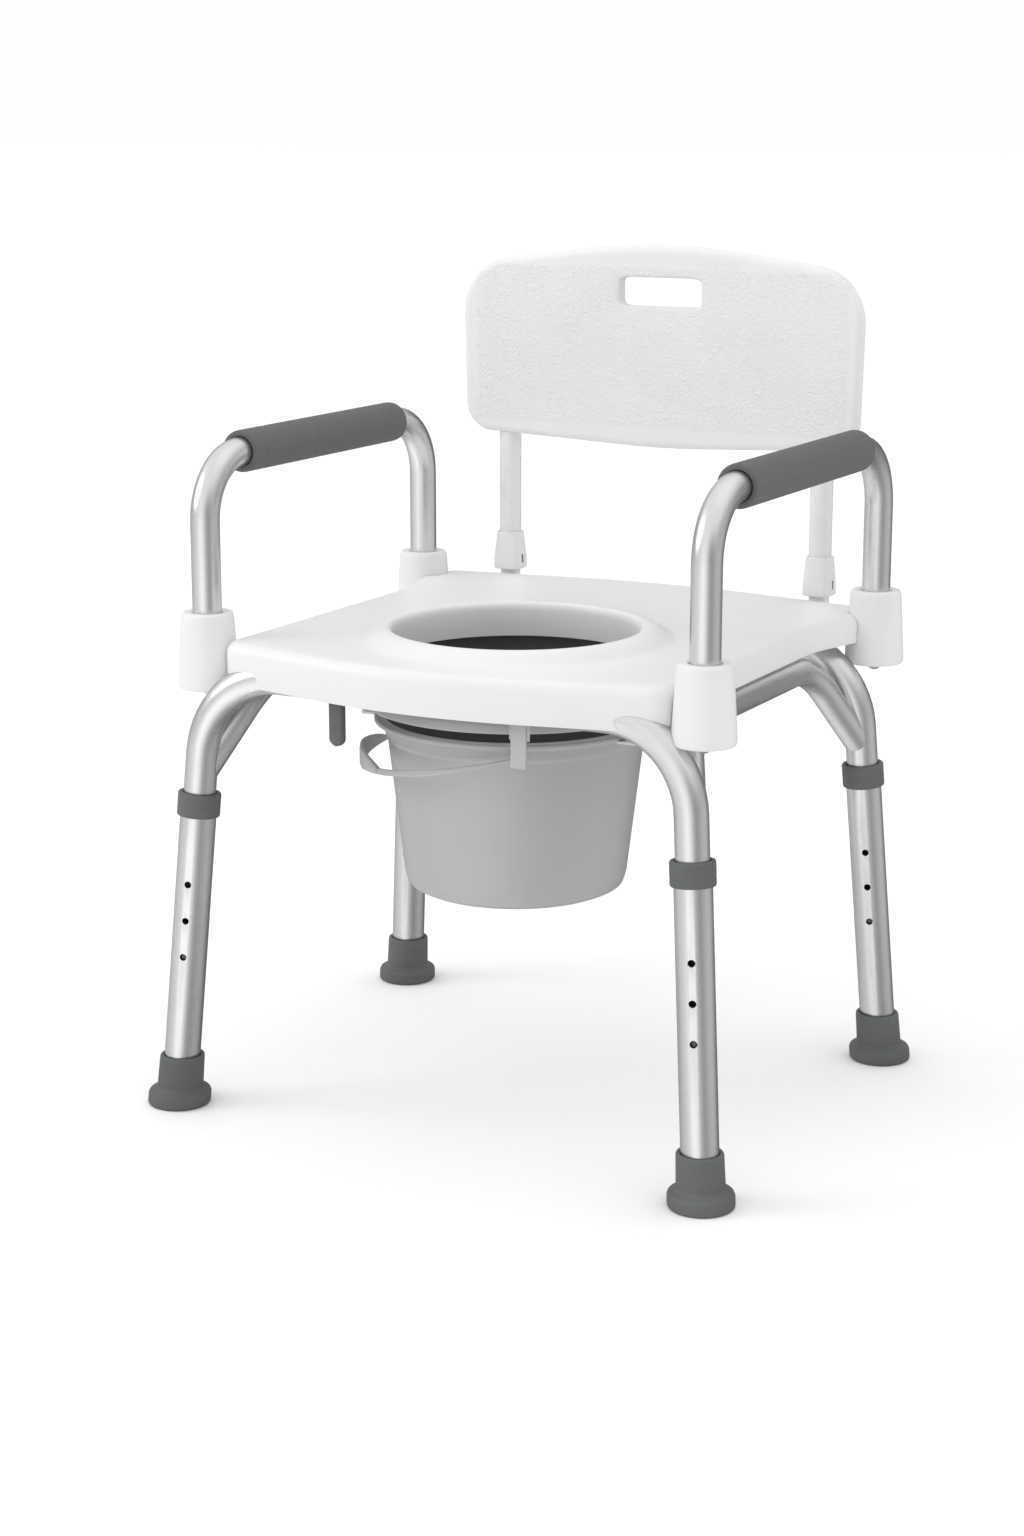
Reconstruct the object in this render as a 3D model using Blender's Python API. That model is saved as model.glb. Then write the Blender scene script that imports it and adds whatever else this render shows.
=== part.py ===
"""Height-adjustable commode and shower chair: tube frame, moulded seat and back, pail.

The chair faces -Y and stands on Z = 0. Every size is in metres. Positions in the code are
measured from the middle of the four feet; BOX_SHIFT then centres the whole chair on Y = 0.
"""
import math

import bpy
from mathutils import Vector

# ---- stance -------------------------------------------------------------------------------
BOX_SHIFT = Vector((0.0, -0.01777, 0.0))
FOOT_X = 0.256
FOOT_Y = 0.203
SPLAY_X = 0.070
SPLAY_Y = 0.0577
HOLE_AZIMUTH = math.radians(14.0)
GAP = 0.0003

# ---- tubes --------------------------------------------------------------------------------
FRAME_RADIUS = 0.0142
FRAME_BORE = 0.0130
OUTER_LEG_RADIUS = 0.0159
OUTER_LEG_BORE = 0.01475
ARM_RADIUS = 0.0127
ARM_BORE = 0.0114
RAIL_RADIUS = 0.0127
HOOP_HEIGHT = 0.3925
HOOP_BEND = 0.078
HOOP_END = 0.120
HOOP_CLEARANCE_END = 0.25
BORE_TOP = 0.175
RAIL_HEIGHT = 0.3815
RAIL_X = 0.203
RAIL_CORNER_Y = 0.128
RAIL_BEND = 0.060
RAIL_WELD_HEIGHT = 0.300

# ---- telescopic legs ----------------------------------------------------------------------
LEG_BOTTOM = 0.014
LEG_TOP = 0.277
COLLAR_RADIUS = 0.0190
COLLAR_BOTTOM = 0.2650
COLLAR_LEDGE = 0.2785
COLLAR_TOP = 0.2860
TIP_RADIUS = 0.0285
TIP_TOP = 0.0450
HOLE_HEIGHT = 0.138
HOLE_PITCH = 0.033
HOLE_COUNT = 3
HOLE_RADIUS = 0.0031
HOLE_CUT_START = 0.008
HOLE_CUT_END = 0.022
BUTTON_RADIUS = 0.0027
BUTTON_TIP = 0.0141
BUTTON_BASE = 0.0062
CLIP_WIDTH = 0.007
CLIP_THICKNESS = 0.0008

# ---- corner sockets, arms and grips -------------------------------------------------------
SOCKET_X = 0.236
SOCKET_FRONT_Y = -0.168
SOCKET_REAR_Y = 0.208
SOCKET_TOP = 0.4416
SOCKET_BOTTOM = 0.375
SOCKET_FLOOR = 0.389
SOCKET_WIDE = 0.0267
SOCKET_NARROW = 0.0230
SOCKET_CLEARANCE = 0.0007
BOLT_RADIUS = 0.0030
BOLT_HEAD_RADIUS = 0.0057
BOLT_HEAD_HEIGHT = 0.0065
BOLT_HEAD_BEVEL = 0.0007
BOLT_REACH = 0.012
ARM_HEIGHT = 0.574
ARM_BEND = 0.055
ARM_END = 0.3915
ARM_BORE_DEPTH = 0.03
GRIP_RADIUS = 0.0185
GRIP_FRONT_Y = -0.112
GRIP_REAR_Y = 0.148

# ---- seat and the pieces under it ---------------------------------------------------------
SEAT_TOP = 0.420
SEAT_UNDERSIDE = 0.4095
SEAT_SKIRT = 0.003
SKIRT_FRONT = 0.384
SKIRT_SIDE = 0.3955
SKIRT_REAR = 0.4035
PAIL_Y = -0.042
HOLE_HALF_X = 0.1075
HOLE_HALF_Y = 0.108
HOLE_WALL_BOTTOM = 0.3880
LIP_TOP = 0.4300
LIP_WIDTH = 0.0290
# Corners of the seat's right half, front to rear: x, y and the radius of the rounding.
SEAT_CORNERS = (
    (0.000, -0.2330, 0.450),
    (0.2125, -0.1850, 0.022),
    (0.2110, 0.1250, 0.120),
    (0.2300, 0.1900, 0.030),
    (0.2220, 0.2380, 0.016),
    (0.000, 0.2720, 0.600),
)
GUARD_TOP = 0.4092
GUARD_BOTTOM = 0.3620
GUARD_NECK = 0.1205
GUARD_RIM = 0.1310
HANGER_X = 0.086
HANGER_Y = -0.1995
HANGER_THICKNESS = 0.0024
HANGER_WIDTH = 0.0148
HANGER_LOW = 0.3450
HANGER_HOOK = 0.010
PAIL_RAIL_X = 0.1325
PAIL_RAIL_FRONT = -0.080
PAIL_RAIL_REAR = 0.165
PAIL_RAIL_FOOT = 0.3445
PAIL_RAIL_INNER = 0.1165
PAIL_RAIL_SHEET = 0.0020

# ---- pail and bail ------------------------------------------------------------------------
RIM_RADIUS = 0.124
RIM_TOP = 0.3515
PAIL_BOTTOM = 0.198
PAIL_TOP_RADIUS = 0.114
PAIL_BASE_RADIUS = 0.098
PAIL_WALL = 0.0025
BAIL_AZIMUTH = math.radians(28.0)
BAIL_HEIGHT = 0.3405
BAIL_WIRE = 0.0018
BAIL_END = 0.1300
BAIL_REACH = 0.1500
BAIL_DROOP = math.radians(12.0)
BAIL_PIN_INNER = 0.1180
# The hand grip's place along the bail's half turn, and its section.
BAIL_GRIP_START = 0.36
BAIL_GRIP_SWEEP = 0.28
BAIL_GRIP_HALF = 0.0040
BAIL_GRIP_DROP = 0.0042
BAIL_GRIP_END_RISE = 0.006
BAIL_GRIP_RISE = 0.024
EAR_INNER = 0.1125
EAR_OUTER = 0.1262
EAR_HALF_WIDTH = 0.0045
EAR_BELOW_AXIS = 0.0055
EAR_TOP = RIM_TOP - 0.0020

# ---- backrest -----------------------------------------------------------------------------
POST_X = 0.163
POST_Y = 0.253
POST_RADIUS = 0.0105
POST_BORE = 0.0091
POST_BOTTOM = 0.4405
POST_TOP = 0.690
STUB_RADIUS = 0.0095
STUB_BEND = 0.020
SPIGOT_RADIUS = 0.0085
SPIGOT_TOP = 0.478
CUFF_BOTTOM = 0.4235
CUFF_TOP = 0.4600
CUFF_HALF = 0.0136
LATCH_HEIGHT = 0.4335
LATCH_REACH = 0.0122
LATCH_HALF_SIZE = Vector((0.0009, 0.0012, 0.0038))
LATCH_SLACK = Vector((0.0080, 0.0004, 0.0004))
PANEL_FRONT_Y = 0.243
PANEL_THICKNESS = 0.016
PANEL_CURVE = 0.010
PANEL_HALF_WIDTH = 0.2065
CHANNEL_BOTTOM = 0.50
CHANNEL_CLEARANCE = 0.0004
SLOT_HEIGHT = 0.697
SLOT_HALF_X = 0.042
SLOT_HALF_Z = 0.0135
# Corners of the panel's right half, bottom to top: x, z and the radius of the rounding.
PANEL_CORNERS = (
    (0.000, 0.5500, 0.900),
    (0.2030, 0.5600, 0.028),
    (0.2065, 0.7200, 0.052),
    (0.000, 0.7460, 0.700),
)

SIDES = 14
ROUND_SIDES = 30
LONGEST_EDGE = 0.034
LEGS = {"fl": (-1, -1), "fr": (1, -1), "rl": (-1, 1), "rr": (1, 1)}

# Colour, roughness, metallic.
FINISHES = {
    "satin_aluminium": ((0.78, 0.79, 0.80), 0.30, 1.0),
    "white_plastic": ((0.86, 0.86, 0.86), 0.45, 0.0),
    "white_enamel": ((0.84, 0.84, 0.84), 0.35, 0.0),
    "grey_rubber": ((0.115, 0.122, 0.125), 0.75, 0.0),
    "grey_foam": ((0.105, 0.105, 0.108), 0.90, 0.0),
    "pail_plastic": ((0.45, 0.455, 0.46), 0.28, 0.0),
    "dark_plastic": ((0.10, 0.10, 0.11), 0.50, 0.0),
    "zinc_steel": ((0.62, 0.62, 0.60), 0.28, 1.0),
}

for old in list(bpy.data.objects):
    bpy.data.objects.remove(old, do_unlink=True)

chair = bpy.data.collections.new("commode_chair")
bpy.context.scene.collection.children.link(chair)
cutters = bpy.data.collections.new("cutters")
bpy.context.scene.collection.children.link(cutters)


def make_material(name, colour, roughness, metallic):
    """A plain Principled material."""
    material = bpy.data.materials.new(name)
    material.use_nodes = True
    shader = material.node_tree.nodes["Principled BSDF"]
    shader.inputs["Base Color"].default_value = (*colour, 1.0)
    shader.inputs["Roughness"].default_value = roughness
    shader.inputs["Metallic"].default_value = metallic
    return material


MATERIALS = {name: make_material(name, *values) for name, values in FINISHES.items()}


# ---- geometry helpers ---------------------------------------------------------------------
def add_object(name, verts, faces, finish, origin=(0.0, 0.0, 0.0)):
    """A named node whose origin is at `origin`; faces are turned outwards."""
    origin = Vector(origin)
    mesh = bpy.data.meshes.new(name)
    mesh.from_pydata([Vector(v) - origin for v in verts], [], faces)
    mesh.update()
    if signed_volume(mesh) < 0:
        mesh.flip_normals()
    node = bpy.data.objects.new(name, mesh)
    node.location = origin + BOX_SHIFT
    if finish is None:
        cutters.objects.link(node)
        node.hide_render = True
        node.display_type = "WIRE"
    else:
        chair.objects.link(node)
        mesh.materials.append(MATERIALS[finish])
        mesh.shade_smooth()
        mesh.set_sharp_from_angle(angle=math.radians(35.0))
    return node


def signed_volume(mesh):
    """Six times the enclosed volume; negative when the faces point inwards."""
    total = 0.0
    for face in mesh.polygons:
        corners = [mesh.vertices[i].co for i in face.vertices]
        for first, second in zip(corners[1:], corners[2:]):
            total += corners[0].dot(first.cross(second))
    return total


def loft(loops, closed=False):
    """Join loops of equal length. A closed loft returns to its first loop, else ends are capped."""
    count = len(loops[0])
    verts = [point for loop in loops for point in loop]
    faces = []
    last = len(loops) if closed else len(loops) - 1
    for row in range(last):
        here = row * count
        there = ((row + 1) % len(loops)) * count
        for i in range(count):
            j = (i + 1) % count
            faces.append((here + i, here + j, there + j, there + i))
    if not closed:
        faces.append(tuple(reversed(range(count))))
        faces.append(tuple(range(len(verts) - count, len(verts))))
    return verts, faces


def across(direction, hint):
    """Two unit vectors square to `direction`, the first as near `hint` as it can be."""
    direction = Vector(direction).normalized()
    first = Vector(hint) - direction * direction.dot(Vector(hint))
    first.normalize()
    return first, direction.cross(first)


def circle(centre, direction, hint, radius, sides=SIDES):
    """Points of a circle square to `direction`, the first one towards `hint`."""
    first, second = across(direction, hint)
    turns = [2.0 * math.pi * i / sides for i in range(sides)]
    return [Vector(centre) + radius * (first * math.cos(t) + second * math.sin(t)) for t in turns]


def lathe(profile, base, direction, hint, sides=SIDES, closed=True):
    """Turn (radius, height) pairs about the line from `base` along `direction`."""
    direction = Vector(direction).normalized()
    loops = [
        circle(Vector(base) + direction * height, direction, hint, radius, sides)
        for radius, height in profile
    ]
    return loft(loops, closed)


def rod(start, end, radius, hint, sides=SIDES):
    """A plain cylinder from `start` to `end`."""
    direction = Vector(end) - Vector(start)
    return loft([circle(spot, direction, hint, radius, sides) for spot in (start, end)])


def rounded_path(points, radii, steps):
    """An open path whose inner corners are arcs of the given radii."""
    path = [Vector(points[0])]
    for before, corner, after, radius in zip(points, points[1:], points[2:], radii):
        path += corner_arc(Vector(before), Vector(corner), Vector(after), radius, steps)
    path.append(Vector(points[-1]))
    return path


def corner_arc(before, corner, after, radius, steps):
    """Points of the arc that rounds one corner."""
    back = (before - corner).normalized()
    ahead = (after - corner).normalized()
    half = back.angle(ahead) / 2.0
    centre = corner + (back + ahead).normalized() * (radius / math.sin(half))
    start = corner + back * (radius / math.tan(half)) - centre
    end = corner + ahead * (radius / math.tan(half)) - centre
    sweep = start.angle(end)
    points = []
    for i in range(steps + 1):
        t = i / steps
        spot = (start * math.sin((1.0 - t) * sweep) + end * math.sin(t * sweep)) / math.sin(sweep)
        points.append(centre + spot)
    return points


def sweep_tube(path, radius, hint, sides=SIDES):
    """A solid round bar along a path, turning as little as it can."""
    loops = []
    side = Vector(hint)
    for i, point in enumerate(path):
        before = path[max(i - 1, 0)]
        after = path[min(i + 1, len(path) - 1)]
        direction = (after - point).normalized() + (point - before).normalized()
        side, _ = across(direction, side)
        loops.append(circle(point, direction, side, radius, sides))
    return loft(loops)


def box(low, high):
    """An axis-aligned block."""
    (x0, y0, z0), (x1, y1, z1) = low, high
    bottom = [Vector(p) for p in ((x0, y0, z0), (x1, y0, z0), (x1, y1, z0), (x0, y1, z0))]
    top = [Vector((p.x, p.y, z1)) for p in bottom]
    return loft([bottom, top])


def prism(outline, shift):
    """A flat outline pushed along `shift`."""
    first = [Vector(p) for p in outline]
    return loft([first, [p + Vector(shift) for p in first]])


def half_outline(corners, steps):
    """A closed, mirror-symmetric outline from the corners of its right half."""
    right = [Vector((a, b, 0.0)) for a, b, _ in corners]
    radii = [r for _, _, r in corners]
    left = [Vector((-p.x, p.y, 0.0)) for p in reversed(right[1:-1])]
    ring = right + left
    ring_radii = radii + list(reversed(radii[1:-1]))
    outline = []
    for i, corner in enumerate(ring):
        before = ring[i - 1]
        after = ring[(i + 1) % len(ring)]
        outline += corner_arc(before, corner, after, ring_radii[i], steps)
    return subdivide(outline, LONGEST_EDGE)


def subdivide(outline, longest):
    """Split the long straight stretches of a closed outline."""
    points = []
    for i, point in enumerate(outline):
        after = outline[(i + 1) % len(outline)]
        pieces = max(1, math.ceil((after - point).length / longest))
        points += [point.lerp(after, k / pieces) for k in range(pieces)]
    return points


def inset(outline, distance):
    """Move every point of a closed outline inwards, square to its neighbours' chord."""
    moved = []
    for i, point in enumerate(outline):
        chord = outline[(i + 1) % len(outline)] - outline[i - 1]
        inward = Vector((-chord.y, chord.x, 0.0)).normalized()
        moved.append(point + inward * distance)
    return moved


def combine(node, other, operation):
    """Combine a node with a hidden solid."""
    boolean = node.modifiers.new(f"{operation.lower()}_{other.name}", "BOOLEAN")
    boolean.operation = operation
    boolean.solver = "EXACT"
    boolean.object = other


def cut(node, cutter):
    """Take the cutter's volume out of the node."""
    combine(node, cutter, "DIFFERENCE")


def add_cutter(name, shape):
    """A hidden solid used only for cutting."""
    return add_object("cutter_" + name, *shape, None)


def merged(*shapes):
    """Several separate solids as one list of points and faces."""
    verts = []
    faces = []
    for shape_verts, shape_faces in shapes:
        offset = len(verts)
        verts += shape_verts
        faces += [tuple(i + offset for i in face) for face in shape_faces]
    return verts, faces


# ---- the leg's own axis -------------------------------------------------------------------
def leg_up(sx, sy):
    """Unit vector up a splayed leg."""
    return Vector((-sx * SPLAY_X, -sy * SPLAY_Y, 1.0)).normalized()


def leg_point(sx, sy, height):
    """The point of a leg's axis at a height above the floor."""
    return Vector((sx * (FOOT_X - SPLAY_X * height), sy * (FOOT_Y - SPLAY_Y * height), height))


def hole_direction(sx, sy):
    """Unit vector from the leg's axis out through its row of holes."""
    flat = Vector((math.sin(HOLE_AZIMUTH), -math.cos(HOLE_AZIMUTH), 0.0))
    outward, _ = across(leg_up(sx, sy), flat)
    return outward


# ---- frame --------------------------------------------------------------------------------
def hoop_path(sy, end_height):
    """Left leg, crossbar, right leg."""
    points = [
        leg_point(-1, sy, end_height),
        leg_point(-1, sy, HOOP_HEIGHT),
        leg_point(1, sy, HOOP_HEIGHT),
        leg_point(1, sy, end_height),
    ]
    return rounded_path(points, (HOOP_BEND, HOOP_BEND), 5)


def rail_path(sx):
    """A side rail from one leg, under the seat's side, to the other leg."""
    points = [
        leg_point(sx, -1, RAIL_WELD_HEIGHT),
        (sx * RAIL_X, -RAIL_CORNER_Y, RAIL_HEIGHT),
        (sx * RAIL_X, RAIL_CORNER_Y, RAIL_HEIGHT),
        leg_point(sx, 1, RAIL_WELD_HEIGHT),
    ]
    return rounded_path([Vector(p) for p in points], (RAIL_BEND, RAIL_BEND), 3)


def build_hoop(name, sy):
    """A leg hoop, bored from both ends and pierced for its two snap buttons."""
    bar = sweep_tube(hoop_path(sy, HOOP_END), FRAME_RADIUS, hole_direction(-1, sy))
    hoop = add_object(name, *bar, "satin_aluminium")
    for sx in (-1, 1):
        outward = hole_direction(sx, sy)
        centre = leg_point(sx, sy, HOLE_HEIGHT)
        bore = rod(leg_point(sx, sy, HOOP_END - 0.01), leg_point(sx, sy, BORE_TOP), FRAME_BORE, outward)
        hole = leg_hole(centre, outward)
        cut(hoop, add_cutter(f"bore_{name}_{sx}", bore))
        cut(hoop, add_cutter(f"pierce_{name}_{sx}", hole))


def leg_hole(centre, outward):
    """A cutter for one button hole, through the near wall of both leg tubes."""
    start = centre + outward * HOLE_CUT_START
    end = centre + outward * HOLE_CUT_END
    return rod(start, end, HOLE_RADIUS, (0, 0, 1), 8)


def build_leg(tag, sx, sy):
    """Outer leg tube, collar, foot, snap button and its spring clip."""
    up = leg_up(sx, sy)
    outward = hole_direction(sx, sy)
    base = leg_point(sx, sy, 0.0)
    stretch = 1.0 / up.z

    tube_profile = (
        (OUTER_LEG_RADIUS, LEG_BOTTOM * stretch),
        (OUTER_LEG_RADIUS, LEG_TOP * stretch),
        (OUTER_LEG_BORE, LEG_TOP * stretch),
        (OUTER_LEG_BORE, LEG_BOTTOM * stretch),
    )
    body = lathe(tube_profile, base, up, outward)
    tube = add_object("leg_extension_" + tag, *body, "satin_aluminium", base)
    holes = []
    for k in range(HOLE_COUNT):
        centre = leg_point(sx, sy, HOLE_HEIGHT) + up * HOLE_PITCH * k
        holes.append(leg_hole(centre, outward))
    cut(tube, add_cutter("holes_" + tag, merged(*holes)))

    collar_profile = (
        (OUTER_LEG_RADIUS + GAP, COLLAR_BOTTOM),
        (COLLAR_RADIUS - 0.0006, COLLAR_BOTTOM),
        (COLLAR_RADIUS, COLLAR_BOTTOM + 0.0008),
        (COLLAR_RADIUS, COLLAR_TOP - 0.0010),
        (COLLAR_RADIUS - 0.0008, COLLAR_TOP),
        (OUTER_LEG_BORE + GAP, COLLAR_TOP),
        (OUTER_LEG_BORE + GAP, COLLAR_LEDGE),
        (OUTER_LEG_RADIUS + GAP, COLLAR_LEDGE),
    )
    add_object("leg_collar_" + tag, *lathe(collar_profile, base, up, outward), "grey_rubber", base)

    foot_profile = (
        (TIP_RADIUS - 0.0015, 0.000),
        (TIP_RADIUS, 0.0025),
        (TIP_RADIUS, 0.0130),
        (TIP_RADIUS - 0.0023, 0.0170),
        (TIP_RADIUS - 0.0067, 0.0190),
        (TIP_RADIUS - 0.0079, TIP_TOP - 0.0015),
        (TIP_RADIUS - 0.0087, TIP_TOP),
        (OUTER_LEG_RADIUS + 0.0005, TIP_TOP),
        (OUTER_LEG_RADIUS + 0.0005, 0.0105),
    )
    loops = [circle(leg_point(sx, sy, h), (0, 0, 1), outward, r, 16) for r, h in foot_profile]
    add_object("foot_" + tag, *loft(loops), "grey_rubber", base)

    centre = leg_point(sx, sy, HOLE_HEIGHT)
    button_profile = (
        (0.0042, BUTTON_BASE),
        (0.0042, BUTTON_BASE + 0.0012),
        (BUTTON_RADIUS, BUTTON_BASE + 0.0014),
        (BUTTON_RADIUS, BUTTON_TIP - 0.0016),
        (0.0020, BUTTON_TIP - 0.0004),
        (0.0008, BUTTON_TIP),
    )
    add_object("leg_button_" + tag, *lathe(button_profile, centre, outward, up, 8, closed=False),
               "dark_plastic", centre)
    build_clip(tag, centre, up, outward)


def build_clip(tag, centre, up, outward):
    """The steel leaf that pushes a snap button out; it is bent into a U inside the tube."""
    sideways = up.cross(outward)
    front = BUTTON_BASE - 0.0046
    path = [
        (front, 0.006), (front, -0.006), (-0.001, -0.0135),
        (-0.0075, -0.0135), (-0.0115, -0.006), (-0.0115, 0.012),
    ]
    spine = [(centre + outward * a + up * b) for a, b in path]
    loops = []
    for i, point in enumerate(spine):
        along = spine[min(i + 1, len(spine) - 1)] - spine[max(i - 1, 0)]
        thick = sideways.cross(along).normalized() * CLIP_THICKNESS / 2.0
        wide = sideways * CLIP_WIDTH / 2.0
        loops.append([point + thick + wide, point + thick - wide, point - thick - wide, point - thick + wide])
    add_object("leg_clip_" + tag, *loft(loops), "zinc_steel", centre)


# ---- sockets and arms ---------------------------------------------------------------------
def build_socket(tag, sx, y):
    """A tapered plastic corner socket and the bolt that holds the arm's end in it."""
    axis_base = (sx * SOCKET_X, y, 0.0)
    profile = (
        (BOLT_RADIUS + GAP, SOCKET_BOTTOM),
        (SOCKET_WIDE - 0.0009, SOCKET_BOTTOM),
        (SOCKET_WIDE, SOCKET_BOTTOM + 0.0020),
        (SOCKET_WIDE, SOCKET_BOTTOM + 0.0080),
        (SOCKET_NARROW, SOCKET_TOP - 0.0045),
        (SOCKET_NARROW - 0.0008, SOCKET_TOP - 0.0010),
        (SOCKET_NARROW - 0.0018, SOCKET_TOP),
        (ARM_RADIUS + GAP, SOCKET_TOP),
        (ARM_RADIUS + GAP, SOCKET_FLOOR),
        (BOLT_RADIUS + GAP, SOCKET_FLOOR),
    )
    body = lathe(profile, axis_base, (0, 0, 1), (1, 0, 0), 16)
    socket = add_object("socket_" + tag, *body, "white_plastic")
    bolt_profile = (
        (BOLT_HEAD_RADIUS - BOLT_HEAD_BEVEL, SOCKET_BOTTOM - BOLT_HEAD_HEIGHT),
        (BOLT_HEAD_RADIUS, SOCKET_BOTTOM - BOLT_HEAD_HEIGHT + BOLT_HEAD_BEVEL),
        (BOLT_HEAD_RADIUS, SOCKET_BOTTOM - GAP),
        (BOLT_RADIUS, SOCKET_BOTTOM - GAP),
        (BOLT_RADIUS, SOCKET_FLOOR + BOLT_REACH),
    )
    bolt = lathe(bolt_profile, axis_base, (0, 0, 1), (1, 0, 0), 8, closed=False)
    add_object("socket_bolt_" + tag, *bolt, "zinc_steel")
    return socket


def build_arm(side, sx):
    """A bent armrest tube and its foam grip."""
    points = [
        Vector((sx * SOCKET_X, SOCKET_FRONT_Y, ARM_END)),
        Vector((sx * SOCKET_X, SOCKET_FRONT_Y, ARM_HEIGHT)),
        Vector((sx * SOCKET_X, SOCKET_REAR_Y, ARM_HEIGHT)),
        Vector((sx * SOCKET_X, SOCKET_REAR_Y, ARM_END)),
    ]
    bar = sweep_tube(rounded_path(points, (ARM_BEND, ARM_BEND), 5), ARM_RADIUS, (1, 0, 0))
    arm = add_object("arm_tube_" + side, *bar, "satin_aluminium")
    for y in (SOCKET_FRONT_Y, SOCKET_REAR_Y):
        low = (sx * SOCKET_X, y, ARM_END - 0.01)
        high = (sx * SOCKET_X, y, ARM_END + ARM_BORE_DEPTH)
        cut(arm, add_cutter(f"arm_bore_{side}_{y}", rod(low, high, ARM_BORE, (1, 0, 0))))
    length = GRIP_REAR_Y - GRIP_FRONT_Y
    profile = (
        (ARM_RADIUS + GAP, 0.0),
        (GRIP_RADIUS - 0.0025, 0.0),
        (GRIP_RADIUS - 0.0007, 0.0010),
        (GRIP_RADIUS, 0.0030),
        (GRIP_RADIUS, length - 0.0030),
        (GRIP_RADIUS - 0.0007, length - 0.0010),
        (GRIP_RADIUS - 0.0025, length),
        (ARM_RADIUS + GAP, length),
    )
    base = (sx * SOCKET_X, GRIP_FRONT_Y, ARM_HEIGHT)
    add_object("arm_grip_" + side, *lathe(profile, base, (0, 1, 0), (1, 0, 0)), "grey_foam")


# ---- seat ---------------------------------------------------------------------------------
def smooth_step(value, low, high):
    """0 below `low`, 1 above `high`, smooth between."""
    t = min(max((value - low) / (high - low), 0.0), 1.0)
    return t * t * (3.0 - 2.0 * t)


def seat_outline():
    """The seat's plan outline."""
    return half_outline(SEAT_CORNERS, 4)


def seat_hole(outline, grow):
    """The oval hole, with one point on the ray to each point of the outline."""
    loop = []
    for point in outline:
        turn = math.atan2((point.y - PAIL_Y) / HOLE_HALF_Y, point.x / HOLE_HALF_X)
        x = (HOLE_HALF_X + grow) * math.cos(turn)
        y = PAIL_Y + (HOLE_HALF_Y + grow) * math.sin(turn)
        loop.append(Vector((x, y, 0.0)))
    return loop


def toward_hole(outline, share):
    """The outline drawn in towards the hole by a share of the way."""
    return [a.lerp(b, share) for a, b in zip(outline, seat_hole(outline, LIP_WIDTH))]


def at_height(loop, height):
    """A flat loop lifted to a height."""
    return [Vector((p.x, p.y, height)) for p in loop]


def skirt_edge(loop):
    """The skirt's lower edge: deep at the front, shallower over the side rails and the stubs."""
    edge = []
    for point in loop:
        height = SKIRT_FRONT
        height += (SKIRT_SIDE - SKIRT_FRONT) * smooth_step(point.y, -0.185, -0.120)
        height += (SKIRT_REAR - SKIRT_SIDE) * smooth_step(point.y, 0.195, 0.235)
        edge.append(Vector((point.x, point.y, height)))
    return edge


def build_seat(sockets, hoop_clearance):
    """The moulded seat: top plate with a raised lip round the hole, and a skirt."""
    outline = seat_outline()
    loops = [
        at_height(seat_hole(outline, 0.0035), HOLE_WALL_BOTTOM),
        at_height(seat_hole(outline, 0.0005), HOLE_WALL_BOTTOM + 0.0160),
        at_height(seat_hole(outline, 0.0000), SEAT_TOP - 0.0020),
        at_height(seat_hole(outline, 0.0025), LIP_TOP - 0.0038),
        at_height(seat_hole(outline, 0.0090), LIP_TOP),
        at_height(seat_hole(outline, 0.0190), LIP_TOP - 0.0022),
        at_height(seat_hole(outline, LIP_WIDTH), SEAT_TOP),
        at_height(toward_hole(outline, 0.14), SEAT_TOP),
        at_height(inset(outline, 0.0110), SEAT_TOP - 0.0012),
        at_height(inset(outline, 0.0035), SEAT_TOP - 0.0040),
        at_height(outline, SEAT_TOP - 0.0110),
        skirt_edge(outline),
        skirt_edge(inset(outline, SEAT_SKIRT)),
        at_height(inset(outline, SEAT_SKIRT + 0.0010), SEAT_UNDERSIDE),
        at_height(seat_hole(outline, 0.0095), SEAT_UNDERSIDE),
        at_height(seat_hole(outline, 0.0070), HOLE_WALL_BOTTOM),
    ]
    seat = add_object("seat_panel", *loft(loops, closed=True), "white_plastic")
    for tag, sx, y in sockets:
        profile = (
            (SOCKET_WIDE + SOCKET_CLEARANCE, SOCKET_BOTTOM - 0.01),
            (SOCKET_WIDE + SOCKET_CLEARANCE, SOCKET_BOTTOM + 0.0080),
            (SOCKET_NARROW + SOCKET_CLEARANCE, SOCKET_TOP - 0.0045),
            (SOCKET_NARROW + SOCKET_CLEARANCE, SOCKET_TOP + 0.01),
        )
        shape = lathe(profile, (sx * SOCKET_X, y, 0.0), (0, 0, 1), (1, 0, 0), 16, closed=False)
        cut(seat, add_cutter("seat_corner_" + tag, shape))
    for sx in (-1, 1):
        stub = stub_path(sx * POST_X, POST_BOTTOM)
        notch = sweep_tube(stub, STUB_RADIUS + 2.0 * GAP, (1, 0, 0), 12)
        cut(seat, add_cutter(f"seat_notch_{sx}", notch))
    for hoop in hoop_clearance.values():
        cut(seat, hoop)


def build_splash_guard():
    """The ring that keeps splashes inside the pail."""
    profile = (
        (GUARD_NECK, GUARD_TOP),
        (GUARD_NECK, GUARD_BOTTOM + 0.0140),
        (GUARD_RIM - 0.0040, GUARD_BOTTOM + 0.0065),
        (GUARD_RIM - 0.0025, GUARD_BOTTOM),
        (GUARD_RIM, GUARD_BOTTOM),
        (GUARD_RIM - 0.0012, GUARD_BOTTOM + 0.0085),
        (GUARD_NECK + 0.0028, GUARD_BOTTOM + 0.0155),
        (GUARD_NECK + 0.0028, GUARD_TOP),
    )
    ring = lathe(profile, (0, PAIL_Y, 0), (0, 0, 1), (1, 0, 0), ROUND_SIDES)
    add_object("splash_guard", *ring, "pail_plastic")


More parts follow.
